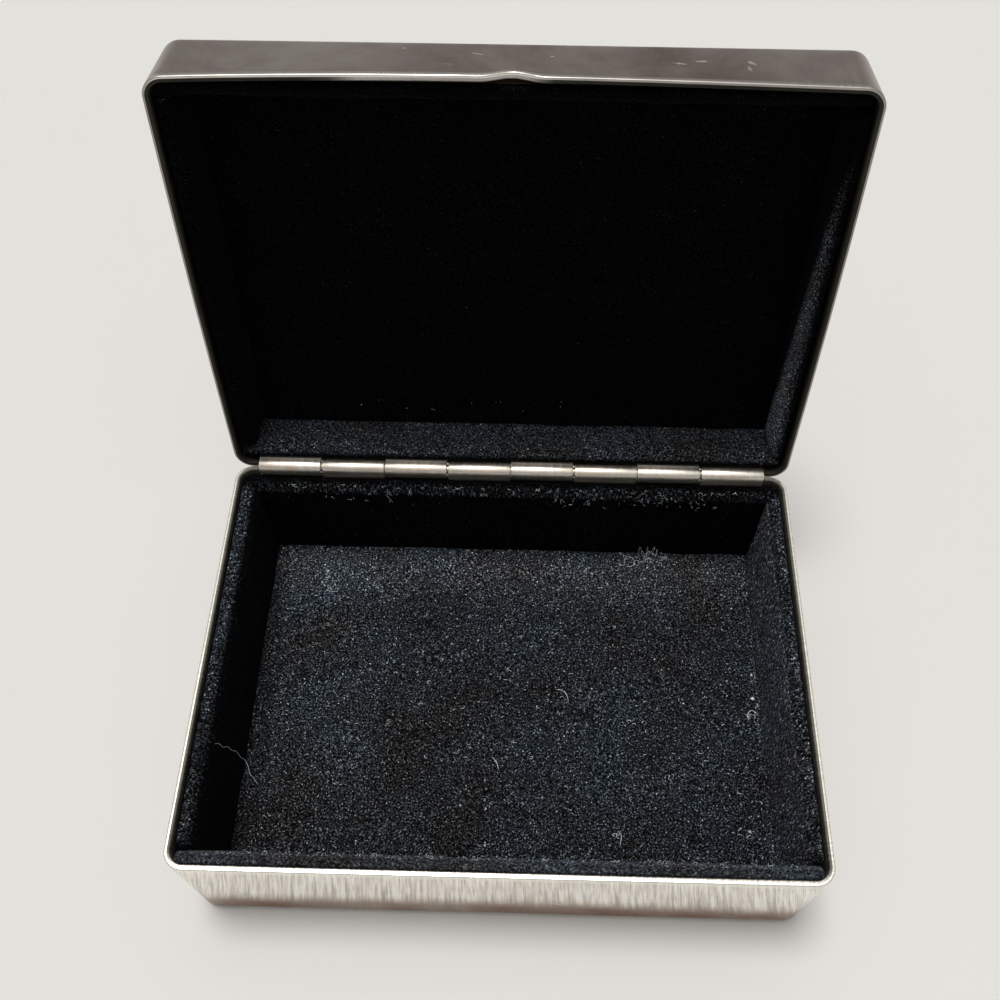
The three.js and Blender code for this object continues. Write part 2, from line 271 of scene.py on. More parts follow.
# Brushed sheet metal: bare metal, warm tarnish in clouds, brush lines and scratches. The edge
# mask is worn bright, and on the lid's rim also a painted highlight; the painted-shade mask is painted shade
# and painted dark reflection, near black; and the foot mask is a painted dark reflection, browned. The small
# marks show only within the foot mask.
def sheetMetal(name, look):
    material, tree, shader = newMaterial(name, {"Metallic": 1.0, "IOR": 1.5})
    sheet = add(tree, "UVMap", {}, uv_map="sheet")["UV"]
    spot = objectSpot(tree)
    edge, paintedShade, foot = mask(tree, "edge"), mask(tree, "paintedShade"), mask(tree, "foot")
    lines = effect(tree, "brushLines", {
        "Place": sheet, "Fineness": look["fineness"], "Length": look["length"]})["Lines"]
    cloud = effect(tree, "tarnish", {"Place": spot, "Size": look["cloudSize"], "Spots": look["spots"]})
    scratch = effect(tree, "scratches", {
        "Place": sheet, "Amount": look["scratch"], "Turn": look["scratchTurn"]})["Lines"]
    for x, y, turn, length, width in look["marks"]:
        mark = effect(tree, "smallMark", {
            "Place": spot, "X": x * mm, "Y": y * mm, "Turn": math.radians(turn),
            "Length": length * mm, "Width": width * mm})["Mask"]
        shown = times(tree, mark, times(tree, foot, look["markStrength"]))
        scratch = calc(tree, "MAXIMUM", scratch, shown)
    # worn edges and scratches, and on the lid's rim a painted highlight
    worn = effect(tree, "edgeWearAndHighlight", {"Place": spot, "Edge": edge, "Amount": look["wear"]})["WearAndHighlight"]
    color = blendColor(tree, times(tree, cloud["Clouds"], look["tarnish"]), look["metal"], look["tarnished"])
    color = blendColor(tree, cloud["Spots"], color, look["spotColor"])
    bright = remap(tree, lines, (0, 1, 1 - look["lineContrast"], 1 + look["lineContrast"]))
    color = blendColor(tree, 1.0, color, mixedColor(tree, bright, bright, bright), "MULTIPLY")
    # painted dark reflection at the foot, browned by the clouds
    footReflection = times(tree, foot, ramp(tree, cloud["Clouds"], "footReflectionClouds"))
    color = blendColor(tree, footReflection, color, look["paintedReflectionColor"])
    color = blendColor(tree, calc(tree, "MAXIMUM", worn, scratch), color, look["bare"])
    # painted shade and painted dark reflection, near black, in recesses, crevices and on the rim's inner top
    color = blendColor(tree, paintedShade, color, look["paintedShadeColor"])
    rough = plus(tree, look["roughness"], times(tree, minus(tree, lines, 0.5), look["lineRough"]))
    rough = plus(tree, rough, times(tree, cloud["Clouds"], look["tarnishRough"]))
    rough = plus(tree, rough, times(tree, paintedShade, look["paintedShadeRough"]))
    rough = minus(tree, rough, times(tree, worn, look["wornSmooth"]), clamp=True)
    height = minus(tree, lines, times(tree, scratch, look["scratchDepth"]))
    height = times(tree, height, minus(tree, 1.0, edge, clamp=True))
    fill(tree, shader, {"Base Color": color, "Roughness": rough,
                        "Normal": addBump(tree, height, look["relief"], look["lineDepth"])})
    return material


# The metals. What most of them share comes first; marks are x, y, turn, length and width of the
# small pale dents on the lid's front.
sharedMetal = {
    "paintedReflectionColor": (0.30, 0.24, 0.18), "length": 500.0, "spots": 0.12, "tarnish": 0.7, "lineContrast": 0.06,
    "scratch": 0.3, "wear": 1.0, "roughness": 0.36, "lineRough": 0.1, "paintedShadeRough": 0.35, "wornSmooth": 0.1,
    "scratchDepth": 1.5, "lineDepth": 0.04, "markStrength": 0.8, "marks": (),
}
# paintedShadeColor is the near-black of painted shade and dark reflection; paintedReflectionColor is the
# painted dark reflection at the base's foot and on the lid's front wall
metalLooks = {
    "base": {
        "metal": (0.90, 0.855, 0.795), "tarnished": (0.70, 0.635, 0.565), "bare": (0.90, 0.885, 0.80),
        "spotColor": (0.46, 0.39, 0.33), "paintedReflectionColor": (0.205, 0.098, 0.042),
        "paintedShadeColor": (0.055, 0.055, 0.04), "fineness": 4200.0, "length": 95.0, "cloudSize": 70.0,
        "spots": 0.15, "tarnish": 0.55, "tarnishRough": 0.06, "lineContrast": 0.42, "scratch": 0.4,
        "scratchTurn": 0.7, "roughness": 0.33, "relief": 0.5},
    "lid": {
        "metal": (0.64, 0.595, 0.55), "tarnished": (0.50, 0.45, 0.43), "bare": (0.82, 0.80, 0.73),
        "spotColor": (0.60, 0.56, 0.52), "paintedReflectionColor": (0.188, 0.140, 0.124),
        "paintedShadeColor": (0.02, 0.02, 0.014), "fineness": 3000.0, "length": 190.0, "cloudSize": 90.0,
        "tarnish": 0.85, "tarnishRough": 0.07, "lineContrast": 0.08, "scratchTurn": 0.25, "relief": 0.2,
        "marks": ((-4.9, 57.35, 20, 1.1, 0.18), (5.2, 56.86, 0, 0.35, 0.25), (-15.2, 59.0, 0, 0.3, 0.25),
                  (22.5, 55.5, 10, 1.1, 0.32), (25.6, 56.4, -5, 0.8, 0.35), (31.8, 54.5, 80, 0.9, 0.3),
                  (32.4, 56.2, 60, 0.9, 0.4))},
    "hinge": {
        "metal": (0.93, 0.875, 0.79), "tarnished": (0.74, 0.62, 0.50), "bare": (0.93, 0.905, 0.85),
        "spotColor": (0.46, 0.38, 0.31), "paintedShadeColor": (0.012, 0.011, 0.009), "fineness": 2600.0,
        "cloudSize": 160.0, "tarnishRough": 0.08, "scratchTurn": 1.2, "wear": 0.6, "relief": 0.1},
    "pin": {
        "metal": (0.60, 0.50, 0.36), "tarnished": (0.38, 0.30, 0.21), "bare": (0.74, 0.64, 0.47),
        "spotColor": (0.25, 0.2, 0.16), "paintedShadeColor": (0.05, 0.04, 0.03), "fineness": 5200.0,
        "cloudSize": 300.0, "spots": 0.4, "tarnishRough": 0.1, "scratchTurn": 0.3, "wear": 0.5,
        "roughness": 0.32, "relief": 0.3},
}


# Black velvet: dark pile, drifting from brown-black to blue-black, whose tips catch light, with
# painted light where the piece faces the side the light falls from. stretch draws the grain out where it is
# seen foreshortened.
def velvetCloth(name, look):
    material, tree, shader = newMaterial(name, {
        "Roughness": 0.95, "Specular IOR Level": 0.03, "Sheen Weight": look["sheen"],
        "Sheen Roughness": 0.45, "Sheen Tint": (0.75, 0.82, 1.0, 1)})
    spot, paintedLight = objectSpot(tree), mask(tree, "paintedLight")
    nap = effect(tree, "velvetNap", {
        "Place": stretch(tree, spot, look["stretch"]), "Grain": look["grain"], "Contrast": look["contrast"]})
    specks = effect(tree, "lintSpecks", {
        "Place": spot, "Density": look["speckDensity"], "Size": look["speckSize"]})["Specks"]
    # the pile's brightness runs from deep in painted shade to open in full painted light
    level = calc(tree, "MULTIPLY_ADD", paintedLight, look["open"] - look["deep"], look["deep"])
    level = times(tree, level, ramp(tree, nap["Drift"], "driftLevel"))
    level = times(tree, level, nap["Tips"])
    pile = mixedColor(tree, times(tree, level, ramp(tree, nap["Drift"], "driftRed")),
                      times(tree, level, look["green"]),
                      times(tree, level, ramp(tree, nap["Drift"], "driftBlue")))
    # lint specks show mostly where the painted light lies
    lint = times(tree, specks, ramp(tree, paintedLight, "specksInPaintedLight"))
    fill(tree, shader, {"Base Color": blendColor(tree, lint, pile, look["speckColor"]),
                        "Normal": addBump(tree, nap["Height"], look["relief"], look["napDepth"])})
    return material


# The velvets; deep and open are the pile's brightness in painted shade and in full painted light
sharedVelvet = {
    "sheen": 0.015, "stretch": (1, 1, 1), "grain": 3400.0, "contrast": 17.0, "speckDensity": 320.0,
    "speckSize": 0.055, "speckColor": (0.60, 0.61, 0.62), "deep": 0.0008, "green": 0.98,
    "relief": 0.7, "napDepth": 0.2,
}
velvetLooks = {
    "floor": {"sheen": 0.02, "speckDensity": 420.0, "open": 0.0110},
    "wall": {"stretch": (1, 1, 0.3), "open": 0.0125},
    "front": {"grain": 3000.0, "contrast": 10.0, "speckSize": 0.04, "deep": 0.0012, "open": 0.029},
    "lid": {"sheen": 0.01, "contrast": 15.0, "speckDensity": 260.0, "speckSize": 0.05, "deep": 0.0006,
            "open": 0.0125},
    "fibre": {"sheen": 0.05, "grain": 2400.0, "contrast": 5.0, "speckDensity": 260.0, "speckSize": 0.01,
              "deep": 0.004, "open": 0.055},
}
cardLook = {"board": (0.33, 0.25, 0.16), "cloudColor": (0.24, 0.18, 0.12), "spotColor": (0.12, 0.09, 0.07),
            "cloudSize": 240.0, "spots": 0.6, "relief": 0.3, "depth": 0.05}
threadLook = {"dark": (0.60, 0.66, 0.74), "light": (0.93, 0.98, 1.0), "size": 900.0}


# Card stiffener: grey-brown board with clouds and spots
def cardBoard(look):
    material, tree, shader = newMaterial("cardBoard", {"Roughness": 0.92})
    cloud = effect(tree, "tarnish", {
        "Place": objectSpot(tree), "Size": look["cloudSize"], "Spots": look["spots"]})
    color = blendColor(tree, cloud["Clouds"], look["board"], look["cloudColor"])
    color = blendColor(tree, cloud["Spots"], color, look["spotColor"])
    fill(tree, shader, {"Base Color": color,
                        "Normal": addBump(tree, cloud["Clouds"], look["relief"], look["depth"])})
    return material


# Loose hair and lint: pale, with darker stretches
def lintThread(look):
    material, tree, shader = newMaterial("lintThread", {"Roughness": 0.7})
    tone = ramp(tree, noise(tree, objectSpot(tree), Scale=look["size"], Detail=1.0), "threadTone")
    fill(tree, shader, {"Base Color": blendColor(tree, tone, look["dark"], look["light"])})
    return material


# Mesh from vertices in millimetres, quads, and any larger faces. corners gives each quad's and
# face's UV, in order; masks are named values for the vertices.
def meshPiece(name, points, quads, faces=(), corners=None, masks=None):
    mesh = bpy.data.meshes.new(name)
    sizes = np.concatenate([np.full(len(quads), 4), [len(f) for f in faces]]).astype(np.int32)
    loops = np.concatenate([np.asarray(quads).ravel(), *[np.asarray(f) for f in faces]]).astype(np.int32)
    starts = np.concatenate([[0], np.cumsum(sizes)[:-1]]).astype(np.int32)
    mesh.vertices.add(len(points))
    mesh.vertices.foreach_set("co", (np.asarray(points) * mm).astype(np.float32).ravel())
    mesh.loops.add(len(loops))
    mesh.loops.foreach_set("vertex_index", loops)
    mesh.polygons.add(len(sizes))
    mesh.polygons.foreach_set("loop_start", starts)
    mesh.polygons.foreach_set("use_smooth", np.full(len(sizes), True))
    if corners is not None:
        layer = mesh.uv_layers.new(name="sheet")
        layer.uv.foreach_set("vector", (np.asarray(corners) * mm).astype(np.float32).ravel())
    for key, values in (masks or {}).items():
        attribute = mesh.attributes.new(key, "FLOAT", "POINT")
        attribute.data.foreach_set("value", np.asarray(values, np.float32).ravel())
    mesh.update(calc_edges=True)
    mesh.validate()
    return linked(name, mesh)


# Quads between neighbouring rows and columns of a grid of points. Columns join up where closed.
def gridQuads(rows, columns, closed, first=0):
    r = np.arange(rows - 1)[:, None] * columns
    c = np.arange(columns if closed else columns - 1)[None, :]
    n = (c + 1) % columns
    return first + np.stack([r + c, r + n, r + columns + n, r + columns + c], axis=-1).reshape(-1, 4)


# The two end faces of a grid whose columns are closed, facing outward
def endFaces(rows, columns, first=0):
    ring = first + np.arange(columns)
    return [ring[::-1], ring + (rows - 1) * columns]


# A profile carried round a path and closed at both ends: rows are the profile's points and
# columns the path's. along and across give the UV, which runs on past the last column, and
# the end faces take theirs from plan, the rows as seen from above. shift is added to u.
def sweptPiece(name, rows, along, across, masks, plan=None, shift=0.0):
    count, columns = rows.shape[:2]
    u, v = np.meshgrid(along, across)
    sheet = np.stack([u + shift, v], axis=-1)
    corners = np.stack([sheet[:-1, :-1], sheet[:-1, 1:], sheet[1:, 1:], sheet[1:, :-1]], axis=2)
    ends = endFaces(count, columns)
    seen = (rows if plan is None else plan).reshape(-1, 3)[:, :2]
    corners = np.concatenate([corners.reshape(-1, 2), *[seen[end] for end in ends]])
    return meshPiece(name, rows.reshape(-1, 3), gridQuads(count, columns, True), ends, corners, masks)


# Studio: a pale floor that curves up into a greyer backdrop all round, a soft sun nearly
# overhead, and an even sky over it. Lengths are metres.
studio = {
    "floorColor": (0.74, 0.735, 0.72), "wallColor": (0.30, 0.30, 0.305), "unevenness": 9.0,
    "innerRings": (0.1, 0.3, 0.7), "flat": 1.1, "bend": 0.8, "wall": 1.7, "bendSteps": 16, "sides": 96,
    "skyColor": (1.0, 0.99, 0.975), "skyLevel": 0.72,
    "sunFrom": (-0.10, 0.10, 1.0), "sunAngle": 18.0, "sunPower": 1.75, "sunColor": (1.0, 0.985, 0.955),
}


# Backdrop: pale where it is flat and greyer up the wall, with a faint unevenness
def backdropSurface():
    material, tree, shader = newMaterial("backdrop", {"Roughness": 0.85, "Specular IOR Level": 0.2})
    spot = objectSpot(tree)
    tone = ramp(tree, noise(tree, spot, Scale=studio["unevenness"], Detail=3.0), "backdropTone")
    height = add(tree, "SeparateXYZ", {"Vector": spot})["Z"]
    grey = ramp(tree, height, "backdropHeight", interpolation_type="SMOOTHSTEP")
    color = blendColor(tree, grey, studio["floorColor"], studio["wallColor"])
    paler = mixedColor(tree, tone, tone, tone)
    fill(tree, shader, {"Base Color": blendColor(tree, 1.0, color, paler, "MULTIPLY")})
    return material


# The backdrop's rows are circles: their radius and height follow a flat disc, a quarter circle
# (radius + bend * sin a, bend * (1 - cos a)) and an upright wall
def makeStudio():
    world = bpy.data.worlds.new("sky")
    world.use_nodes = True
    fill(world.node_tree, world.node_tree.nodes["Background"], {
        "Color": (*studio["skyColor"], 1), "Strength": studio["skyLevel"]})
    bpy.context.scene.world = world
    bpy.context.scene.view_settings.view_transform = "Standard"
    light = bpy.data.lights.new("softSun", "SUN")
    light.energy, light.color = studio["sunPower"], studio["sunColor"]
    light.angle = math.radians(studio["sunAngle"])
    sun = linked("softSun", light)
    sun.rotation_euler = Vector(studio["sunFrom"]).to_track_quat("Z", "Y").to_euler()
    bend = np.linspace(0, math.pi / 2, studio["bendSteps"] + 1)
    inner, curve = studio["innerRings"], studio["flat"] + studio["bend"] * np.sin(bend)
    radius = np.concatenate([inner, curve, curve[-1:]])
    height = np.concatenate([np.zeros(len(inner)), studio["bend"] * (1 - np.cos(bend)), [studio["wall"]]])
    turn = np.linspace(0, 2 * math.pi, studio["sides"] + 1)[:-1]
    rows = np.stack([radius[:, None] * np.cos(turn), radius[:, None] * np.sin(turn),
                     np.repeat(height[:, None], len(turn), axis=1)], axis=-1) / mm
    quads = gridQuads(len(radius), len(turn), True)[:, ::-1]
    backdrop = meshPiece("backdrop", rows.reshape(-1, 3), quads, [np.arange(len(turn))])
    backdrop.data.materials.append(backdropSurface())


makeStudio()
print("studio and camera made")


def dress(obj, body, slotName, material, *nodes):
    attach(obj, body)
    if nodes:
        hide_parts(*nodes)
    obj.data.materials.append(material)


box = {
    "width": 100.0, "depth": 72.5, "baseHeight": 26.0, "lidHeight": 12.5, "sheet": 0.95,
    "corner": 3.2, "baseEdge": 2.5, "lidEdge": 1.5, "rimRound": 0.24, "rimGap": 0.2,
    "baseBright": 0.5, "lidBright": 0.36, "brightFade": 0.05, "rimPaintedShade": 0.95, "floorReach": 0.4,
    "frontBow": 0.8, "sideBow": 0.25, "bowSkew": 0.85,
    "notchWidth": 9.0, "notchDepth": 1.2, "notchFade": 4.0, "notchStops": 33,
    "openAngle": 101.1, "axisInset": 0.2, "axisRise": 0.3,
    "slotHalf": 46.05, "slotRound": 0.12, "baseSlotDepth": 1.33, "lidSlotDepth": 1.73,
    "slotFrom": 0.45, "slotFade": 0.4, "slotReach": 1.2, "slotStops": 9,
    "arcSteps": 18, "footSteps": 10, "lipSteps": 5, "wallSteps": 13, "sideSteps": 25,
}
axisY = box["depth"] / 2 - box["axisInset"]
axisZ = box["baseHeight"] + box["axisRise"]


# Outline of the box seen from above: quarter circles at the corners and straight sides. Each
# point is centre + radius * (cos a, sin a) on an arc, or a share of the way along a side. side
# is the number of its straight side, or -1 on an arc.
def boxOutline(lengthX, lengthY, radius, arcSteps, stops):
    x, y = lengthX / 2 - radius, lengthY / 2 - radius
    centres = [(x, y), (-x, y), (-x, -y), (x, -y)]
    points, normals, sides, shares = [], [], [], []
    for turn, centre in enumerate(centres):
        angles = math.pi / 2 * (turn + np.linspace(0, 1, arcSteps + 1))
        normal = np.stack([np.cos(angles), np.sin(angles)], axis=-1)
        arc = np.array(centre) + radius * normal
        following = np.array(centres[(turn + 1) % 4]) + radius * normal[-1]
        share = stops[turn][:, None]
        points += [arc, arc[-1] * (1 - share) + following * share]
        normals += [normal, np.repeat(normal[-1:], len(share), axis=0)]
        sides += [np.full(arcSteps + 1, -1), np.full(len(share), turn)]
        shares += [np.zeros(arcSteps + 1), share[:, 0]]
    points = np.concatenate(points)
    steps = np.linalg.norm(np.roll(points, -1, axis=0) - points, axis=1)
    return {"points": points, "normals": np.concatenate(normals), "side": np.concatenate(sides),
            "share": np.concatenate(shares), "along": np.concatenate([[0], np.cumsum(steps)])}


# A quarter of a circle as steps from 0 to 1 of (1 - sin, 1 - cos)
def quarter(steps):
    angle = np.linspace(0, math.pi / 2, steps + 1)
    return np.stack([1 - np.sin(angle), 1 - np.cos(angle)], axis=-1)


# 0 up to low and 1 from high on, by t * t * (3 - 2 t) between them, also where low is the
# greater one. A band rises and falls again.
def smoothStep(value, low, high):
    t = np.clip((value - low) / (high - low), 0, 1)
    return t * t * (3 - 2 * t)


def band(value, rise, fall):
    return smoothStep(value, *rise) * (1 - smoothStep(value, *fall))


def masked(inward, height, edgeMask, dullMask):
    return np.column_stack(np.broadcast_arrays(inward, height, edgeMask, dullMask))


# Section of the pressed sheet from the middle of the outside, over the rim, to the middle of
# the inside: (distance in, height, edge mask, painted-shade mask). Quarter circles round foot and rim, and
# the rim is bright over its outer share, given by bright; the rest of its top and the inside carry painted
# shade.
def traySection(height, edge, bright):
    sheet, rim, rimPaintedShade = box["sheet"], box["rimRound"], box["rimPaintedShade"]
    foot, lip = quarter(box["footSteps"]), quarter(box["lipSteps"])
    wall = np.linspace(edge, height - rim, box["wallSteps"] + 1)[1:-1]
    innerFoot = sheet + foot[::-1] * (edge - sheet)
    outerLip = masked(lip[:, 1] * rim, height - lip[:, 0] * rim, 1, 0)
    floorAt, brightEnd = edge + box["floorReach"], sheet * bright
    return np.concatenate([
        [(floorAt, 0, 0, 0)],
        masked(foot[:, 0] * edge, foot[:, 1] * edge, 0, 0),
        masked(0, wall, 0, 0),
        outerLip,
        [(brightEnd, height, 1, 0), (brightEnd + box["brightFade"], height, 0, rimPaintedShade)],
        outerLip[::-1] * (-1, 1, 0, 0) + (sheet, 0, 0, rimPaintedShade),
        masked(sheet, wall[::-1], 0, 1),
        masked(innerFoot[:, 0], innerFoot[:, 1], 0, 1),
        [(floorAt, sheet, 0, 1)]])


# A tray: the section carried round the outline, where each point is outline - inset * normal.
# Points of the rear wall near the rim sink by the depth of the slot, within the slot's length.
def trayPoints(section, outline, height, slotDepth):
    points = outline["points"]
    plan = points[None] - section[:, 0, None, None] * outline["normals"][None]
    z = np.repeat(section[:, 1, None], len(points), axis=1)
    slotHalf, slotRound = box["slotHalf"], box["slotRound"]
    inSlot = 1 - smoothStep(np.abs(points[:, 0]), slotHalf - slotRound, slotHalf + slotRound)
    inSlot = inSlot * (points[:, 1] > 0)
    sink = np.clip((z - box["slotFrom"] * height) / (box["slotFade"] * height), 0, 1)
    return np.dstack([plan, z - slotDepth * inSlot[None] * sink])


# Shares of the way along a side: even steps, and one at each spot, measured from its middle
def sideStops(length, spots=()):
    even = np.linspace(0, 1, box["sideSteps"] + 1)[1:-1]
    return np.unique(np.round(np.concatenate([even, 0.5 + np.array(spots) / length]), 6))


# One tray of the box, with closer stops at the slot's ends and, in its front, at frontSpots.
# Gives its outline, section, points and how far each stop faces the front.
def makeTray(half, frontSpots=()):
    straightX, straightY = (box[key] - 2 * box["corner"] for key in ("width", "depth"))
    reach = box["slotRound"] * box["slotReach"]
    slotEnds = box["slotHalf"] + np.linspace(-reach, reach, box["slotStops"])
    stops = [sideStops(straightX, np.concatenate([-slotEnds, slotEnds])), sideStops(straightY),
             sideStops(straightX, frontSpots), sideStops(straightY)]
    outline = boxOutline(box["width"], box["depth"], box["corner"], box["arcSteps"], stops)
    height = box[half + "Height"]
    section = traySection(height, box[half + "Edge"], box[half + "Bright"])
    rows = trayPoints(section, outline, height, box[half + "SlotDepth"])
    return outline, section, rows, np.clip(-outline["normals"][:, 1], 0, 1) ** 2


def sectionLength(section):
    return np.concatenate([[0], np.cumsum(np.linalg.norm(np.diff(section[:, :2], axis=0), axis=1))])


# How the base's masks lie: stretches are millimetres along x, and foot along z. The brush lines
# of its front lean out towards the foot by streakLean of x for each millimetre down.
baseWear = {
    "bright": 0.95, "brightLoss": 0.1, "paintedShade": 0.9, "frontUnshaded": 0.85, "rightUnshaded": 0.3,
    "right": (0, 30), "middle": (10, 40), "foot": (4.5, 13.0), "middleRise": 0.9,
    "reflectionSides": 0.4, "reflectionFront": 0.6, "streakLean": 0.0050, "footSlack": 0.1,
}


# The base's rim is worn bright outside, and its inner half carries a painted dark reflection
# except at the front. The foot's painted dark reflection of the shadowed floor, browned, reaches higher in
# the front's middle.
def makeBaseShell(wear):
    outline, section, rows, facing = makeTray("base")
    x = outline["points"][:, 0]
    right = smoothStep(x, *wear["right"])
    edge = section[:, 2, None] * (wear["bright"] - wear["brightLoss"] * right)[None]
    # painted dark reflection on the rim's inner half and painted shade down the inside, less at the front
    unshaded = facing * (wear["frontUnshaded"] - wear["rightUnshaded"] * right)
    paintedShade = section[:, 3, None] * (wear["paintedShade"] - unshaded)[None]
    # painted dark reflection of the shadowed floor at the foot, browned, higher in the front's middle
    middle = 1 - smoothStep(np.abs(x), *wear["middle"])
    foot = 1 - smoothStep(rows[..., 2] - wear["middleRise"] * middle[None], *wear["foot"])
    foot = foot * (section[:, 0, None] < box["baseEdge"] + wear["footSlack"])
    foot = foot * (wear["reflectionSides"] + wear["reflectionFront"] * facing)[None]
    lean = -np.append(x * facing, 0)[None] * wear["streakLean"]
    down = (box["baseHeight"] - rows[..., 2])[:, :1]
    return sweptPiece("base_case", rows, outline["along"], sectionLength(section),
                      {"edge": edge, "paintedShade": paintedShade, "foot": foot}, shift=lean * down)


# Points given by x, and by y and z from the hinge axis, turned about it and put in their place
def turnOnAxis(x, y, z, degrees):
    turn = math.radians(degrees)
    return np.stack([x, axisY + y * math.cos(turn) - z * math.sin(turn),
                     axisZ + y * math.sin(turn) + z * math.cos(turn)], axis=-1)


# Points of the closed lid, with z from 0 at its rim, turned about the hinge to where it rests open
def openLid(points):
    return turnOnAxis(points[..., 0], points[..., 1] - axisY,
                      points[..., 2] + box["rimGap"] - box["axisRise"], -box["openAngle"])


# How the lid's masks lie; stretches are millimetres along x, and front is along z
lidWear = {
    "glintRise": (-26, -20), "glintFall": (1, 6), "left": (-30, -20), "dimRise": (2, 8),
    "rim": 0.12, "rimFront": 0.12, "rimLeft": 0.35, "rimGlint": 0.7, "dim": 0.45, "dimRight": 0.3,
    "glintUnshaded": 0.8, "front": (0, 1.2), "darkRise": (-30, 2), "darkFall": (26, 40),
    "dark": 0.68, "darkMiddle": 0.31, "footSlack": 0.1,
}


# The lid's front wall is painted darker than its top (the foot mask), most in its middle, as a painted
# dark reflection, and its rim carries a painted highlight in one stretch left of the notch, with painted
# shade over the rest of the rim. The lid's free edge has sprung outwards by half a sine wave along the front
# and the ends, fading up the wall, and a raised cosine lifts the front's rim at the thumb notch.
def makeLidShell(wear):
    notchSpots = np.linspace(-1, 1, box["notchStops"]) * box["notchWidth"] / 2
    outline, section, rows, facing = makeTray("lid", notchSpots)
    x, side, share = outline["points"][:, 0], outline["side"], outline["share"]
    rows[..., 2] = box["lidHeight"] - rows[..., 2]
    spring = np.where(side == 2, box["frontBow"] * np.sin(math.pi * share ** box["bowSkew"]), 0)
    spring = spring + np.where(np.isin(side, (1, 3)), box["sideBow"] * np.sin(math.pi * share), 0)
    push = spring[None] * (1 - rows[..., 2] / box["lidHeight"])
    rows[..., :2] += push[..., None] * outline["normals"][None]
    reach = np.minimum(1, np.abs(rows[..., 0]) / (box["notchWidth"] / 2))
    fade = np.maximum(0, 1 - rows[..., 2] / box["notchFade"])
    lift = box["notchDepth"] * fade * np.cos(reach * math.pi / 2) ** 2
    rows[..., 2] += np.where(side == 2, lift, 0)
    # painted highlight on the rim in one stretch left of the notch, and brighter on its left
    glint = band(x, wear["glintRise"], wear["glintFall"])
    left = 1 - smoothStep(x, *wear["left"])
    bright = wear["rim"] + facing * (wear["rimFront"] + wear["rimLeft"] * left + wear["rimGlint"] * glint)
    edge = section[:, 2, None] * bright[None]
    # painted shade on the rim's sides and right part
    dim = wear["dim"] - facing * (wear["dim"] - wear["dimRight"] * smoothStep(x, *wear["dimRise"]))
    onRim = ((section[:, 3] > 0) & (section[:, 3] < 1))[:, None]
    paintedShade = section[:, 3, None] * (1 - wear["glintUnshaded"] * onRim * (facing * glint)[None])
    paintedShade = np.maximum(paintedShade, section[:, 2, None] * dim[None])
    onFront = (section[:, 0] < box["lidEdge"] + wear["footSlack"]) * (section[:, 3] == 0)
    onFront = onFront * smoothStep(section[:, 1], *wear["front"])
    # painted dark reflection on the front wall, most in its middle
    dark = facing * (wear["dark"] + wear["darkMiddle"] * band(x, wear["darkRise"], wear["darkFall"]))
    foot = onFront[:, None] * dark[None] * (1 - section[:, 2, None])
    across = sectionLength(section)
    return sweptPiece("lid_case", openLid(rows)[::-1], outline["along"], across[-1] - across[::-1],
                      {"edge": edge[::-1], "paintedShade": paintedShade[::-1], "foot": foot[::-1]}, rows[::-1])


metals = {key: sheetMetal(key + "Metal", {**sharedMetal, **look}) for key, look in metalLooks.items()}
dress(makeBaseShell(baseWear), "base", "brushed_metal", metals["base"], "base_shell")
dress(makeLidShell(lidWear), "lid", "brushed_metal", metals["lid"], "lid_shell")
print("base and lid cases made")


hinge = {
    "barrelRadius": 1.38, "leaf": 0.48, "pinRadius": 0.85, "knuckles": 8, "pitch": 11.45, "gap": 0.22,
    "endPlay": 0.1, "clearance": 0.25, "baseLeafHeight": 11.0, "lidLeafHeight": 8.0,
    "endRound": 0.09, "endStart": 0.3, "rollEnd": 308.0, "rollSteps": 44, "shadedFoot": 0.05,
    "pinDome": 0.3, "pinEnd": 0.55, "domeSteps": 5, "pinSides": 32, "creaseAngle": 50.0,
}
barrelLength = hinge["knuckles"] * hinge["pitch"]


# Section of a knuckle in the plane across the axis, rising from its leaf: up the leaf's face,
# round a circle about the axis to the end of the roll, and back along the inner circle.
def rollSection(inset):
    outer, inner = hinge["barrelRadius"] - inset, hinge["barrelRadius"] - hinge["leaf"] + inset
    roll = np.radians(180 - np.linspace(0, hinge["rollEnd"], hinge["rollSteps"]))
    out = np.column_stack([np.cos(roll), np.sin(roll)])
    foot = -hinge["barrelRadius"] - hinge["clearance"]
    return np.concatenate([[(-outer, foot)], out * outer, out[::-1] * inner, [(-inner, foot)]])


# A section carried along the axis: x and the ring there, in order
def rowsAlong(stations):
    return np.array([np.column_stack([np.full(len(ring), x), ring]) for x, ring in stations])


# One knuckle: its section carried along the axis, slightly smaller at both rounded ends
def knuckleRows(start, length):
    bevel = hinge["endRound"]
    near = hinge["endStart"] * bevel
    stations = [(0, bevel), (near, near), (bevel, 0), (length / 2, 0), (length - bevel, 0),
                (length - near, near), (length, bevel)]
    return rowsAlong([(start + x, rollSection(inset)) for x, inset in stations])


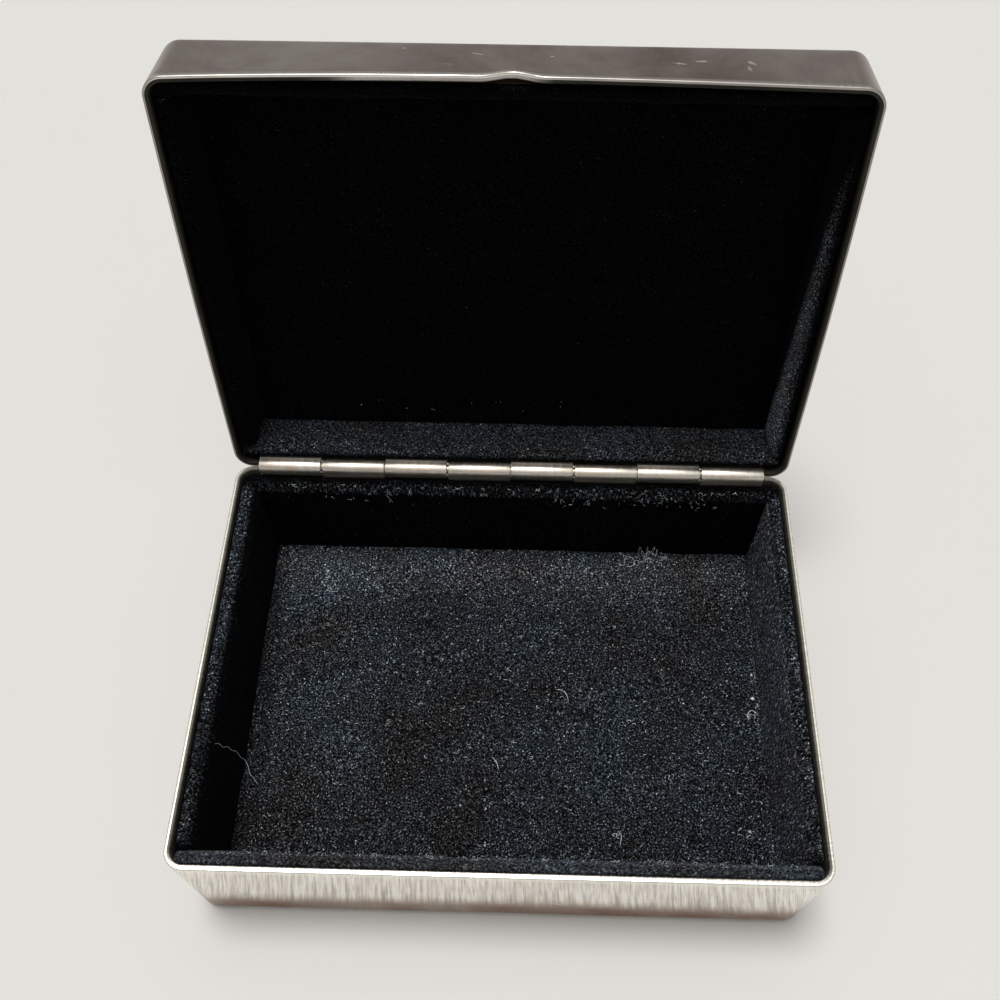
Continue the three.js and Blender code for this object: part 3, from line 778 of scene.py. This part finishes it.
# Several swept bodies in one mesh; up is 1 for a leaf that rises from the axis and -1 for one
# that hangs from it. The leaf is turned about the axis at the end.
def makeLeaf(name, first, up, height, shift, turn):
    foot = hinge["barrelRadius"] + hinge["clearance"]
    face, back = -hinge["barrelRadius"], hinge["leaf"] - hinge["barrelRadius"]
    slab = np.array([(face, -height), (face, -foot), (back, -foot), (back, -height)])
    start, gap = shift - barrelLength / 2, hinge["gap"]
    bodies = [rowsAlong([(start + gap, slab), (start + barrelLength - gap, slab)])]
    bodies += [knuckleRows(start + i * hinge["pitch"] + gap / 2, hinge["pitch"] - gap)
               for i in range(first, hinge["knuckles"], 2)]
    points, quads, faces, edge, paintedShade, total = [], [], [], [], [], 0
    for rows in bodies:
        count, columns = rows.shape[:2]
        isSlab = count == 2
        quads.append(gridQuads(count, columns, True, total))
        faces += endFaces(count, columns, total)
        points.append(rows[:, ::-1].reshape(-1, 3))
        worn = np.zeros((count, columns))
        if not isSlab:
            worn[[0, 1, -2, -1]] = 1.0
        edge.append(worn.ravel())
        # painted shade on the leaf's slab and the knuckles' feet, in the crevice below the barrel
        paintedShade.append(isSlab | (np.abs(points[-1][:, 2] + foot) < hinge["shadedFoot"]))
        total += len(points[-1])
    points, quads = np.concatenate(points), np.concatenate(quads)
    around = np.unwrap(np.arctan2(points[:, 2], points[:, 1])) * hinge["barrelRadius"]
    sheet = np.column_stack([points[:, 0], around])
    if up > 0:
        points = points * (1, 1, -1)
        quads, faces = quads[:, ::-1], [f[::-1] for f in faces]
    corners = np.concatenate([sheet[quads.ravel()], *[sheet[f] for f in faces]])
    masks = {"edge": np.concatenate(edge), "paintedShade": np.concatenate(paintedShade)}
    return meshPiece(name, turnOnAxis(*points.T, turn), quads, faces, corners, masks)


# The pin: a circle carried along the axis, with domed ends whose radius falls as a quarter circle
def makePin():
    half = barrelLength / 2 + hinge["endPlay"]
    angle = np.linspace(0, math.pi / 2, hinge["domeSteps"] + 1)
    fromEnd = hinge["pinDome"] * (1 - np.cos(angle))
    x = np.concatenate([fromEnd - half, (half - fromEnd)[::-1]])
    full = np.sin(np.concatenate([angle, angle[::-1]]))
    radius = hinge["pinRadius"] * (hinge["pinEnd"] + (1 - hinge["pinEnd"]) * full)
    around = np.linspace(0, 2 * math.pi, hinge["pinSides"] + 1)
    turn = around[:-1]
    rows = np.stack([np.repeat(x[:, None], len(turn), 1), axisY + radius[:, None] * np.cos(turn)[None],
                     axisZ + radius[:, None] * np.sin(turn)[None]], axis=-1)
    return sweptPiece("pin_wire", rows, around * hinge["pinRadius"], x - x[0],
                      {"edge": np.zeros(rows.shape[:2])})


def creased(obj):
    obj.data.set_sharp_from_angle(angle=math.radians(hinge["creaseAngle"]))
    return obj


baseLeaf = makeLeaf("base_leaf_and_knuckles", 1, -1, hinge["baseLeafHeight"], hinge["endPlay"] / 2, 0)
lidLeaf = makeLeaf("lid_leaf_and_knuckles", 0, 1, hinge["lidLeafHeight"], -hinge["endPlay"] / 2,
                   -box["openAngle"])
dress(creased(baseLeaf), "base", "hinge_metal", metals["hinge"], "base_hinge_leaf")
dress(creased(lidLeaf), "lid", "hinge_metal", metals["hinge"], "lid_hinge_leaf")
dress(creased(makePin()), "base", "pin_wire", metals["pin"], "hinge_pin")
print("hinge made")


# The linings: thickness by side, then each cover's form. Wall rounds are at the ends, at foot
# and top, and at the back and the face. Fibres are counted for each square millimetre.
lining = {
    "pad": 2.7, "front": 2.8, "left": 2.9, "right": 2.2, "rear": 1.9,
    "recess": 0.8, "face": 0.95, "edge": 0.6, "glue": 0.1, "crease": 0.1, "ease": 0.25,
    "wallEnds": (0.3, 0.3), "wallEdges": (0.15, 3.0), "wallBack": 0.45, "wallFlat": 0.6,
    "panelRounds": ((0.5, 0.5), (0.5, 0.5), (0.4, 0.6)), "panelEase": 0.04, "cornerEase": 0.06,
    "cell": 0.42, "nap": 0.04, "mostNap": 0.08, "napShare": (0.15, 0.5), "lump": 0.09, "mostLump": 0.12,
    "lumpShare": (0.3, 1.0), "lumpWaves": 26, "lumpLengths": (5, 22), "lumpTilt": 0.6, "seed": 7,
    "endSteps": 9, "frontSteps": 8, "backSteps": 5, "wallFill": 0.35, "panelFill": 0.3,
    "fibreLength": 0.42, "fibreRadius": 0.022, "fibreRoot": 0.05, "fibreRise": 0.8,
    "shortest": 0.35, "fibreLean": (0.1, 0.9), "wallFibres": 2.6, "panelFibres": 0.9,
}
randomness = np.random.default_rng(lining["seed"])
innerX = box["width"] / 2 - box["sheet"]
innerY = box["depth"] / 2 - box["sheet"]
leafFace = axisY - hinge["barrelRadius"]


# Steps of 1 - cos, from 0 to 1
def easing(count):
    return 1 - np.cos(np.linspace(0, math.pi / 2, count))


# Even stations from 0 to length, closer together over the rounded stretch at each end
def stations(length, roundLow, roundHigh, cell):
    count = max(2, int((length - roundLow - roundHigh) / cell))
    middle = np.linspace(roundLow, length - roundHigh, count + 1)[1:-1]
    end = easing(lining["endSteps"])
    return np.concatenate([roundLow * end, middle, length - roundHigh * end[::-1]])


# Soft undulation: a sum of sine waves with seeded directions, lengths and phases
def undulation(points, amplitude):
    waves, tilted = lining["lumpWaves"], lining["lumpTilt"]
    turn = randomness.uniform(0, 2 * math.pi, waves)
    tilt = randomness.uniform(-tilted, tilted, waves)
    length = randomness.uniform(*lining["lumpLengths"], waves)
    phase = randomness.uniform(0, 2 * math.pi, waves)
    direction = np.stack([np.cos(turn), np.sin(turn), tilt], axis=0) * (2 * math.pi / length)
    return amplitude * np.sin(points @ direction + phase).sum(axis=1) / math.sqrt(waves)


# A soft cover in its own frame: u and v run over the face and w out of it. The face is a grid
# and the sides are rings round it. Every point p of the plain block is drawn in to q in a
# smaller block and goes back out along d = (p - q) / radii, made one long, so that the edges
# are rounded. It is open at the back.
def softCover(size, rounds, cell):
    length, height, thick = size
    back, front = rounds[2]
    u, v = stations(length, *rounds[0], cell), stations(height, *rounds[1], cell)
    gridU, gridV = np.meshgrid(u, v)
    columns, rowsCount = len(u), len(v)
    face = np.stack([gridU, gridV, np.full_like(gridU, thick)], axis=-1).reshape(-1, 3)
    loop = np.concatenate([
        np.arange(columns),
        np.arange(1, rowsCount) * columns + columns - 1,
        (rowsCount - 1) * columns + np.arange(columns - 1)[::-1],
        np.arange(1, rowsCount - 1)[::-1] * columns])
    depths = np.concatenate([thick - front * easing(lining["frontSteps"])[1:],
                             back * easing(lining["backSteps"])[::-1]])
    sides = np.repeat(face[loop][None], len(depths), axis=0)
    sides[..., 2] = depths[:, None]
    outside = np.concatenate([face, sides.reshape(-1, 3)])
    low, roundHigh = np.array(rounds).T
    inner = np.clip(outside, low, np.array(size) - roundHigh)
    radii = np.maximum(np.where(outside < low, low, roundHigh), 1e-6)
    direction = (outside - inner) / radii
    direction = direction / np.maximum(np.linalg.norm(direction, axis=1, keepdims=True), 1e-9)
    following, ring = np.roll(loop, -1), len(face) + np.arange(len(loop))
    quads = [gridQuads(rowsCount, columns, False),
             np.stack([loop, ring, np.roll(ring, -1), following], axis=-1),
             gridQuads(len(depths), len(loop), True, len(face))[:, ::-1]]
    return inner + direction * radii, direction, quads, len(loop)


# The soft cover with its lumps and nap along d, and a cavity at its back for the card: two more
# rings inside the mouth and a roof. Where placePoints mirrors it, its faces are turned over.
def makeCover(size, rounds, placePoints):
    rounded, direction, quads, ringCount = softCover(size, rounds, lining["cell"])
    share = np.clip(rounded[:, 2] / size[2], 0, 1)
    lumps = undulation(rounded, lining["lump"]) * smoothStep(share, *lining["lumpShare"])
    nap = randomness.normal(0, lining["nap"], len(rounded)) * smoothStep(share, *lining["napShare"])
    swell = np.minimum(lumps, lining["mostLump"]) + np.clip(nap, -lining["mostNap"], lining["mostNap"])
    rounded = rounded + direction * swell[:, None]
    last = len(rounded) - ringCount
    inset = np.array([lining["edge"], lining["edge"], 0])
    rimRing = np.clip(rounded[last:], inset, np.array([size[0], size[1], 0]) - inset)
    roofRing = rimRing + (0, 0, size[2] - lining["face"])
    points = np.concatenate([rounded, rimRing, roofRing])
    quads = np.concatenate([*quads, gridQuads(3, ringCount, True, last)[:, ::-1]])
    roof = np.arange(len(points) - ringCount, len(points))[::-1]
    placed = placePoints(points)
    normal = placePoints(points + np.concatenate([direction, np.zeros((2 * ringCount, 3))])) - placed
    axes = placePoints(np.concatenate([np.zeros((1, 3)), np.eye(3)]) + np.array(size) / 2)
    if np.linalg.det(axes[1:] - axes[0]) < 0:
        quads, roof = quads[:, ::-1], roof[::-1]
    return placed, normal, quads, roof


# Where painted light lies. It falls from one side, and facing gives how far a spot must face that side
# for none and all of it. covers has a first share for some pieces and rows of an axis, two
# values along it and the share gained between them. The rest is for single pieces.
paintedLighting = {
    "from": (-0.45, 0.12, 0.88), "facing": (0.1, 0.6), "rightSides": 3.6,
    "covers": {
        "base_floor": (0.92, [(1, 16, 32, 1.3), (0, -10, -46, 0.3)]),
        "base_left": (0.6, [(1, -22, 12, 0.5)]), "base_front": (0.85, [(1, -33.7, -33.15, 0.8)]),
        "base_rear": (0.8, [(2, 23.0, 24.6, -0.4)]), "lid_front": (0.1, [])},
    "floorSeam": (44.9, 45.6), "seamPaintedLight": 1.4, "shoulderZ": (22.3, 23.0), "shoulderY": (33.7, 33.1),
    "lineDepth": 9.7, "lineLength": 64, "lineSoft": 1.2, "lineCosine": 0.98, "lineSine": 0.19,
    "lidRight": 1.35, "lidRightLoss": 0.5, "lidRightStretch": (10, 50),
}


# Painted light by how far each spot faces the side from which it falls, more on the upright sides of
# the right covers, times the piece's own share. It is painted into the crease at the floor's right seam, and
# on the base's rear cover it lies only on the shoulder below the top, as a lit band. The lid's right cover
# is in painted shadow beyond a slanting line, given by the distance away from the hinge and deep into the
# lid.
def paintedLightOn(name, points, normal):
    d = paintedLighting
    x, y, z = points.T
    upright = 1 - smoothStep(normal[:, 2], *d["facing"])
    boost = d["rightSides"] if name.endswith("right") else 1.0
    paintedLight = smoothStep(normal @ np.array(d["from"]), *d["facing"]) * (1 + (boost - 1) * upright)
    if name == "base_rear":
        paintedLight = smoothStep(z, *d["shoulderZ"]) * smoothStep(y, *d["shoulderY"])
    first, gains = d["covers"].get(name, (1.0, []))
    paintedLight = paintedLight * (first + sum(gain * smoothStep(points[:, axis], a, b) for axis, a, b, gain in gains))
    if name == "base_floor":
        paintedLight = np.maximum(paintedLight, d["seamPaintedLight"] * smoothStep(x, *d["floorSeam"]))
    if name == "lid_right":
        away = (z - axisZ) * d["lineCosine"] + (y - axisY) * d["lineSine"]
        deep = (y - axisY) * d["lineCosine"] - (z - axisZ) * d["lineSine"]
        line = d["lineDepth"] * (1 - away / d["lineLength"])
        paintedLight = paintedLight * smoothStep(line - deep, -d["lineSoft"], d["lineSoft"])
        paintedLight = paintedLight * (d["lidRight"] - d["lidRightLoss"] * smoothStep(away, *d["lidRightStretch"]))
    return paintedLight


pile = {"base": [], "lid": []}


# A cover's pad, with its painted light and its soft filling. Its quads outside the cavity are kept for
# the fibres of the pile.
def coverPiece(name, body, material, size, rounds, placePoints, kind):
    points, normal, quads, roof = makeCover(size, rounds, placePoints)
    paintedLight = paintedLightOn(name, points, normal)
    obj = meshPiece(name + "_pad", points, quads, [roof], None, {"paintedLight": paintedLight})
    dress(obj, body, "velvet", material, name + "_velvet")
    outer = quads[(quads < len(points) - 2 * len(roof)).all(axis=1)]
    pile[body].append((points, normal, paintedLight, outer, kind))


# Points over a corner of the metal are pulled in to its inner radius
def keepInside(points):
    inward = box["corner"] - box["sheet"]
    radius = inward - lining["cornerEase"]
    middle = np.array([innerX, innerY]) - inward
    away = np.abs(points[:, :2]) - middle
    inCorner = (away > 0).all(axis=1)
    reach = np.linalg.norm(away, axis=1)
    scale = np.where(inCorner & (reach > radius), radius / np.maximum(reach, 1e-9), 1)
    pulled = np.sign(points[:, :2]) * (middle + away * scale[:, None])
    points[:, :2] = np.where(inCorner[:, None], pulled, points[:, :2])
    return points


# Places a cover's own points: origin + u, v and w along three axes, opened with the lid
def placer(origin, axes, opened):
    def placePoints(points):
        placed = keepInside(np.array(origin) + points @ np.array(axes, float))
        return openLid(placed) if opened else placed
    return placePoints


# The five covers of one half of the box, placed as its cards lie: facing is 1 in the base and
# -1 in the lid, which is drawn closed and then opened.
def makeLining(body, panel, floorAt, rimAt, facing, looks):
    glue, crease, ease = lining["glue"], lining["crease"], lining["panelEase"]
    foot = floorAt + facing * (box["baseEdge"] - box["sheet"])
    height = abs(rimAt - facing * lining["recess"] - foot)
    frontBack, rearBack = -innerY + glue, leafFace - glue
    leftBack, rightBack = -innerX + glue, innerX - glue
    frontFace, rearFace = frontBack + lining["front"], rearBack - lining["rear"]
    leftFace, rightFace = leftBack + lining["left"], rightBack - lining["right"]
    longStrip = 2 * (rightBack - lining["ease"])
    cross = rearFace - frontFace - 2 * crease
    middle = (rearFace + frontFace) / 2
    up = (0, 0, facing)
    walls = [
        ("front", longStrip, (longStrip / 2, frontBack, foot), (-1, 0, 0), (0, 1, 0)),
        ("rear", longStrip, (-longStrip / 2, rearBack, foot), (1, 0, 0), (0, -1, 0)),
        ("left", cross, (leftBack, middle - cross / 2, foot), (0, 1, 0), (1, 0, 0)),
        ("right", cross, (rightBack, middle + cross / 2, foot), (0, -1, 0), (-1, 0, 0)),
    ]
    for side, length, origin, along, inward in walls:
        thick = lining[side]
        rounds = (lining["wallEnds"], lining["wallEdges"], (lining["wallBack"], thick - lining["wallFlat"]))
        coverPiece(body + "_" + side, body, looks.get(side, looks["wall"]), (length, height, thick), rounds,
                   placer(origin, (along, up, inward), facing < 0), "wall")
    panelX, panelY = rightFace - leftFace - ease, cross + 2 * crease - ease
    origin = ((rightFace + leftFace - panelX) / 2, middle - facing * panelY / 2, floorAt + facing * glue)
    coverPiece(body + "_" + panel, body, looks["panel"], (panelX, panelY, lining["pad"]),
               lining["panelRounds"], placer(origin, ((1, 0, 0), (0, facing, 0), up), facing < 0), "panel")


velvets = {key: velvetCloth(key + "Velvet", {**sharedVelvet, **look}) for key, look in velvetLooks.items()}
makeLining("base", "floor", box["sheet"], box["baseHeight"], 1,
           {"wall": velvets["wall"], "front": velvets["front"], "panel": velvets["floor"]})
makeLining("lid", "top", box["lidHeight"] - box["sheet"], 0, -1,
           {"wall": velvets["lid"], "panel": velvets["lid"]})
card = cardBoard(cardLook)
for nodeName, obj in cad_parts.items():
    if nodeName.endswith("_card"):
        obj.data.materials.clear()
        obj.data.materials.append(card)
print("linings made")


def unitRows(vectors):
    return vectors / np.maximum(np.linalg.norm(vectors, axis=-1, keepdims=True), 1e-9)


# Fibres standing out of the pile. A spot is a mix of the corners of a quad drawn in proportion
# to its area; a fibre is a spike with three sides from there along normal + lean * sideways.
def pileFibres(points, normal, paintedLight, quads, kind):
    a, b, c, d = (points[quads[:, i]] for i in range(4))
    area = np.linalg.norm(np.cross(c - a, d - b), axis=1) / 2
    count = int(area.sum() * lining[kind + "Fibres"])
    chosen = randomness.choice(len(quads), count, p=area / area.sum())
    s, t = randomness.random((2, count, 1))
    mixed = [(1 - s) * (1 - t), s * (1 - t), s * t, (1 - s) * t]
    spot, up = (sum(m * values[quads[chosen, i]] for i, m in enumerate(mixed))
                for values in (points, normal))
    up = unitRows(up)
    side = unitRows(np.cross(up, randomness.normal(size=(count, 3))))
    across = np.cross(up, side)
    turn = np.radians([0, 120, 240])[None, :, None]
    ring = side[:, None] * np.cos(turn) + across[:, None] * np.sin(turn)
    root = spot[:, None] + lining["fibreRadius"] * ring - lining["fibreRoot"] * up[:, None]
    length = lining["fibreLength"] * randomness.uniform(lining["shortest"], 1.0, (count, 1))
    lean = side * randomness.uniform(*lining["fibreLean"], (count, 1))
    tip = spot + length * (up * lining["fibreRise"] + lean)
    spikes = np.concatenate([root, tip[:, None]], axis=1)
    return spikes.reshape(-1, 3), np.repeat(paintedLight[quads[chosen, 0]], 4)


# Mesh with flat faces, from vertices in millimetres
def facetedPiece(name, points, faces):
    mesh = bpy.data.meshes.new(name)
    mesh.from_pydata((points * mm).tolist(), [], faces)
    return linked(name, mesh)


def makePile(body):
    points, shade = (np.concatenate(part) for part in zip(*[pileFibres(*cover) for cover in pile[body]]))
    first = np.arange(len(points) // 4)[:, None] * 4
    triangles = np.concatenate([first + np.array(t) for t in ((0, 1, 3), (1, 2, 3), (2, 0, 3), (0, 2, 1))])
    obj = facetedPiece(body + "_pile_fibres", points, triangles.tolist())
    # each fibre keeps the painted light of its cover
    attribute = obj.data.attributes.new("paintedLight", "FLOAT", "POINT")
    attribute.data.foreach_set("value", shade.astype(np.float32))
    dress(obj, body, "velvet", velvets["fibre"])


makePile("base")
makePile("lid")
print("pile fibres made")


# Hair and lint on the velvet. Hairs are routes. Each row of curls has its middle, how many there
# are, how far they scatter, their widest radius and how high they rise. Flecks have a middle and
# a radius. rearCurls have a middle along x, a count and a scatter. Specks are scattered over the
# whole floor, and lidSpecks over a stretch of the lid in x and y of the closed box.
lint = {
    "hairs": [
        [(-45.85, -15.9, 23.6), (-45.8, -15.0, 21.4), (-45.75, -14.9, 18.8), (-45.8, -13.7, 16.6),
         (-45.75, -13.5, 13.4), (-45.75, -12.5, 10.8), (-45.7, -12.7, 7.6), (-45.6, -12.0, 4.8),
         (-44.9, -13.3, 4.3), (-44.4, -14.7, 4.35), (-43.7, -15.0, 4.2), (-43.0, -16.2, 4.2)],
        [(19.8, -22.68, 4.1), (20.5, -23.6, 4.25), (20.3, -24.5, 4.2), (20.1, -25.5, 4.1)],
        [(-2.1, -10.2, 4.1), (-1.2, -11.3, 4.25), (-0.9, -12.4, 4.1)],
        [(9.2, 2.9, 4.1), (10.6, 2.6, 4.3), (11.3, 1.5, 4.25), (11.4, 0.3, 4.1)],
        [(22.5, 29.3, 4.15), (22.4, 30.4, 4.4), (23.0, 31.0, 4.6), (23.9, 30.9, 4.6), (24.5, 30.2, 4.4),
         (24.3, 29.3, 4.2), (23.5, 28.9, 4.15), (22.7, 29.1, 4.15)],
        [(44.0, -2.3, 4.15), (43.7, -1.3, 4.3), (44.4, -0.4, 4.4), (45.2, -0.5, 4.3), (45.8, -1.4, 4.2)],
    ],
    "curls": [
        (27.0, 31.7, 13, 1.5, 0.9, 3.4), (27.2, 30.0, 14, 1.7, 0.8, 0.9), (44.7, -1.2, 7, 0.7, 0.6, 0.3),
        (-3.0, -18.9, 4, 0.4, 0.6, 0.3), (-35.4, 24.6, 9, 1.2, 0.6, 0.4), (-35.0, 21.5, 4, 1.0, 0.7, 0.3),
        (42.5, -17.0, 7, 1.2, 0.6, 0.3), (33.0, -8.0, 7, 4.0, 0.6, 0.3), (20.0, -24.0, 4, 0.5, 0.6, 0.3),
        (41.5, -22.8, 5, 1.1, 0.6, 0.3), (0.0, 5.0, 150, 26.0, 0.4, 0.25)],
    "curlRoom": ((-45.6, -32.6, 0), (45.9, 32.3, 30)), "curlKnots": 7,
    "flecks": [
        (-35.7, 25.1, 0.21), (-38.5, 23.9, 0.19), (-2.7, -25.8, 0.18), (-41.3, 17.3, 0.15),
        (38.7, 27.9, 0.18), (-27.6, 24.8, 0.20), (-28.8, 28.4, 0.15), (-35.5, 26.6, 0.16),
        (42.5, -22.4, 0.16), (45.1, 2.0, 0.21), (-33.3, 24.5, 0.15), (45.3, 6.6, 0.16),
        (4.9, -21.8, 0.15), (45.2, -3.0, 0.16), (32.4, 0.7, 0.14), (19.9, -23.5, 0.18),
        (17.9, 24.2, 0.16), (-2.9, -19.6, 0.15), (-16.5, 5.6, 0.15), (-29.3, 11.3, 0.15),
        (-5.5, 12.4, 0.15), (19.3, 9.3, 0.15), (42.7, 20.3, 0.15), (-34.6, 22.9, 0.15),
        (27.0, 28.9, 0.16), (24.5, 29.6, 0.15), (21.7, 29.3, 0.17), (28.8, 30.2, 0.15)],
    "rearCurls": [(-34.0, 5, 2.5), (-25.0, 8, 2.0), (11.5, 20, 3.0), (25.0, 18, 2.4), (33.0, 16, 2.6)],
    "rimCurls": 70, "frontCurls": 110, "specks": 150, "lidSpecks": 16, "seed": 11, "floorTop": 4.08,
    "rimCurl": {"y": 33.0, "spread": 0.25, "top": 24.6, "widest": 0.5, "rise": 0.4}, "rimX": (-42, 42),
    "rearCurl": {"y": 32.4, "spread": 0.05, "widest": 0.4, "rise": 1.0}, "rearHeights": (20.0, 23.8),
    "frontCurl": {"y": -33.0, "spread": 0.12, "top": 24.4, "widest": 0.4, "rise": 0.4}, "frontX": (-44, 45),
    "hairRadius": 0.048, "curlRadius": 0.042, "faintRadius": 0.018, "thinEnds": 0.3,
    "askew": (0.31, 0.17, 0.93), "curlArc": (60, 240), "leastCurl": 0.15, "wander": 0.16, "flatter": 0.7,
    "wideSpread": 1.4,
    "speckRadii": (0.03, 0.07), "speckCorners": (0.5, 1.2), "speckStretch": (0.7, 2.2),
    "speckX": (-45, 45.5), "speckY": (-32, 32), "speckTop": 3.98, "fleckTop": 4.15,
    "lidSpeckX": (-36, 10), "lidSpeckY": (26.5, 30), "lidSpeckTop": 8.62,
}
chance = np.random.default_rng(lint["seed"])


# A thread along a route whose corners are averaged away: rings of points about it, at right
# angles to its direction, with the radius tapering at both ends as the root of a sine
def threadRings(route, radius, steps=8, sides=4, smoothing=0):
    route = np.asarray(route, float)
    knots = np.linspace(0, 1, len(route))
    even = np.linspace(0, 1, steps)
    path = np.column_stack([np.interp(even, knots, route[:, i]) for i in range(3)])
    for i in range(smoothing):
        path[1:-1] = (path[:-2] + 2 * path[1:-1] + path[2:]) / 4
    along = unitRows(np.gradient(path, axis=0))
    side = unitRows(np.cross(along, lint["askew"]))
    over = np.cross(along, side)
    turn = np.linspace(0, 2 * math.pi, sides + 1)[:-1][None, :, None]
    full = np.sqrt(np.sin(math.pi * even))[:, None, None]
    thick = radius * (lint["thinEnds"] + (1 - lint["thinEnds"]) * full)
    return path[:, None] + thick * (side[:, None] * np.cos(turn) + over[:, None] * np.sin(turn))


# A curl of lint: part of a flattened circle with a wandering radius, higher in its middle by
# half a sine wave. A wide row of curls scatters half as far along y as along x.
def curlRoute(x, y, spread, top, widest, rise):
    knots = lint["curlKnots"]
    scatter = chance.normal(0, spread, 2) * (1, 0.5 if spread > lint["wideSpread"] else 1)
    turn = np.radians(chance.uniform(0, 360) + np.linspace(0, chance.uniform(*lint["curlArc"]), knots))
    radius = chance.uniform(lint["leastCurl"], widest) * (1 + lint["wander"] * chance.normal(size=knots))
    lifted = chance.uniform(0, rise) * np.sin(np.linspace(0, math.pi, knots))
    return np.column_stack([x + scatter[0] + radius * np.cos(turn),
                            y + scatter[1] + lint["flatter"] * radius * np.sin(turn), top + lifted])


# Octahedra with uneven corners, longer one way than the other
def speckLumps(centres, radius):
    corners = np.concatenate([np.eye(3)[:2], -np.eye(3)[:2], np.eye(3)[2:], -np.eye(3)[2:]])
    size = radius[:, None, None] * chance.uniform(*lint["speckCorners"], (len(centres), 6, 1))
    size = size * chance.uniform(*lint["speckStretch"], (len(centres), 1, 3))
    triangles = [(i, (i + 1) % 4, 4) for i in range(4)] + [((i + 1) % 4, i, 5) for i in range(4)]
    return (centres[:, None] + corners * size).reshape(-1, 3), np.array(triangles)


def makeLint(name, body, threads, centres, sizes, material):
    points, faces, total = [], [], 0
    for rings in threads:
        count, sides = rings.shape[:2]
        faces += gridQuads(count, sides, True, total).tolist()
        faces += [end.tolist() for end in endFaces(count, sides, total)]
        points.append(rings.reshape(-1, 3))
        total += len(points[-1])
    lumps, triangles = speckLumps(centres, sizes)
    faces += (total + np.arange(len(centres))[:, None, None] * 6 + triangles).reshape(-1, 3).tolist()
    dress(facetedPiece(name, np.concatenate([*points, lumps]), faces), body, None, material)


# Points scattered over a stretch of x and of y, at one height
def scattered(count, xEnds, yEnds, height):
    return np.column_stack([chance.uniform(*xEnds, count), chance.uniform(*yEnds, count),
                            np.full(count, height)])


# The faint curls lie along the rear rim, down the rear wall and along the front rim
curls = [curlRoute(x, y, spread, lint["floorTop"], widest, rise)
         for x, y, count, spread, widest, rise in lint["curls"] for i in range(count)]
faint = [curlRoute(x, **lint["rimCurl"]) for x in chance.uniform(*lint["rimX"], lint["rimCurls"])]
faint += [curlRoute(chance.normal(x, spread), top=chance.uniform(*lint["rearHeights"]), **lint["rearCurl"])
          for x, count, spread in lint["rearCurls"] for i in range(count)]
faint += [curlRoute(x, **lint["frontCurl"]) for x in chance.uniform(*lint["frontX"], lint["frontCurls"])]
threads = [threadRings(route, lint["hairRadius"], max(16, 4 * len(route)), 6, 3) for route in lint["hairs"]]
threads += [threadRings(np.clip(route, *lint["curlRoom"]), lint["curlRadius"]) for route in curls]
threads += [threadRings(route, lint["faintRadius"]) for route in faint]
flecks = np.array(lint["flecks"])
specks = scattered(lint["specks"], lint["speckX"], lint["speckY"], lint["speckTop"])
specks = np.concatenate([specks, flecks * (1, 1, 0) + (0, 0, lint["fleckTop"])])
sizes = np.concatenate([chance.uniform(*lint["speckRadii"], lint["specks"]), flecks[:, 2]])
lidSpecks = scattered(lint["lidSpecks"], lint["lidSpeckX"], lint["lidSpeckY"], lint["lidSpeckTop"])
thread = lintThread(threadLook)
makeLint("base_lint_and_hair", "base", threads, specks, sizes, thread)
lidSizes = chance.uniform(*lint["speckRadii"], lint["lidSpecks"])
makeLint("lid_lint", "lid", [], openLid(lidSpecks), lidSizes, thread)
print("lint made")
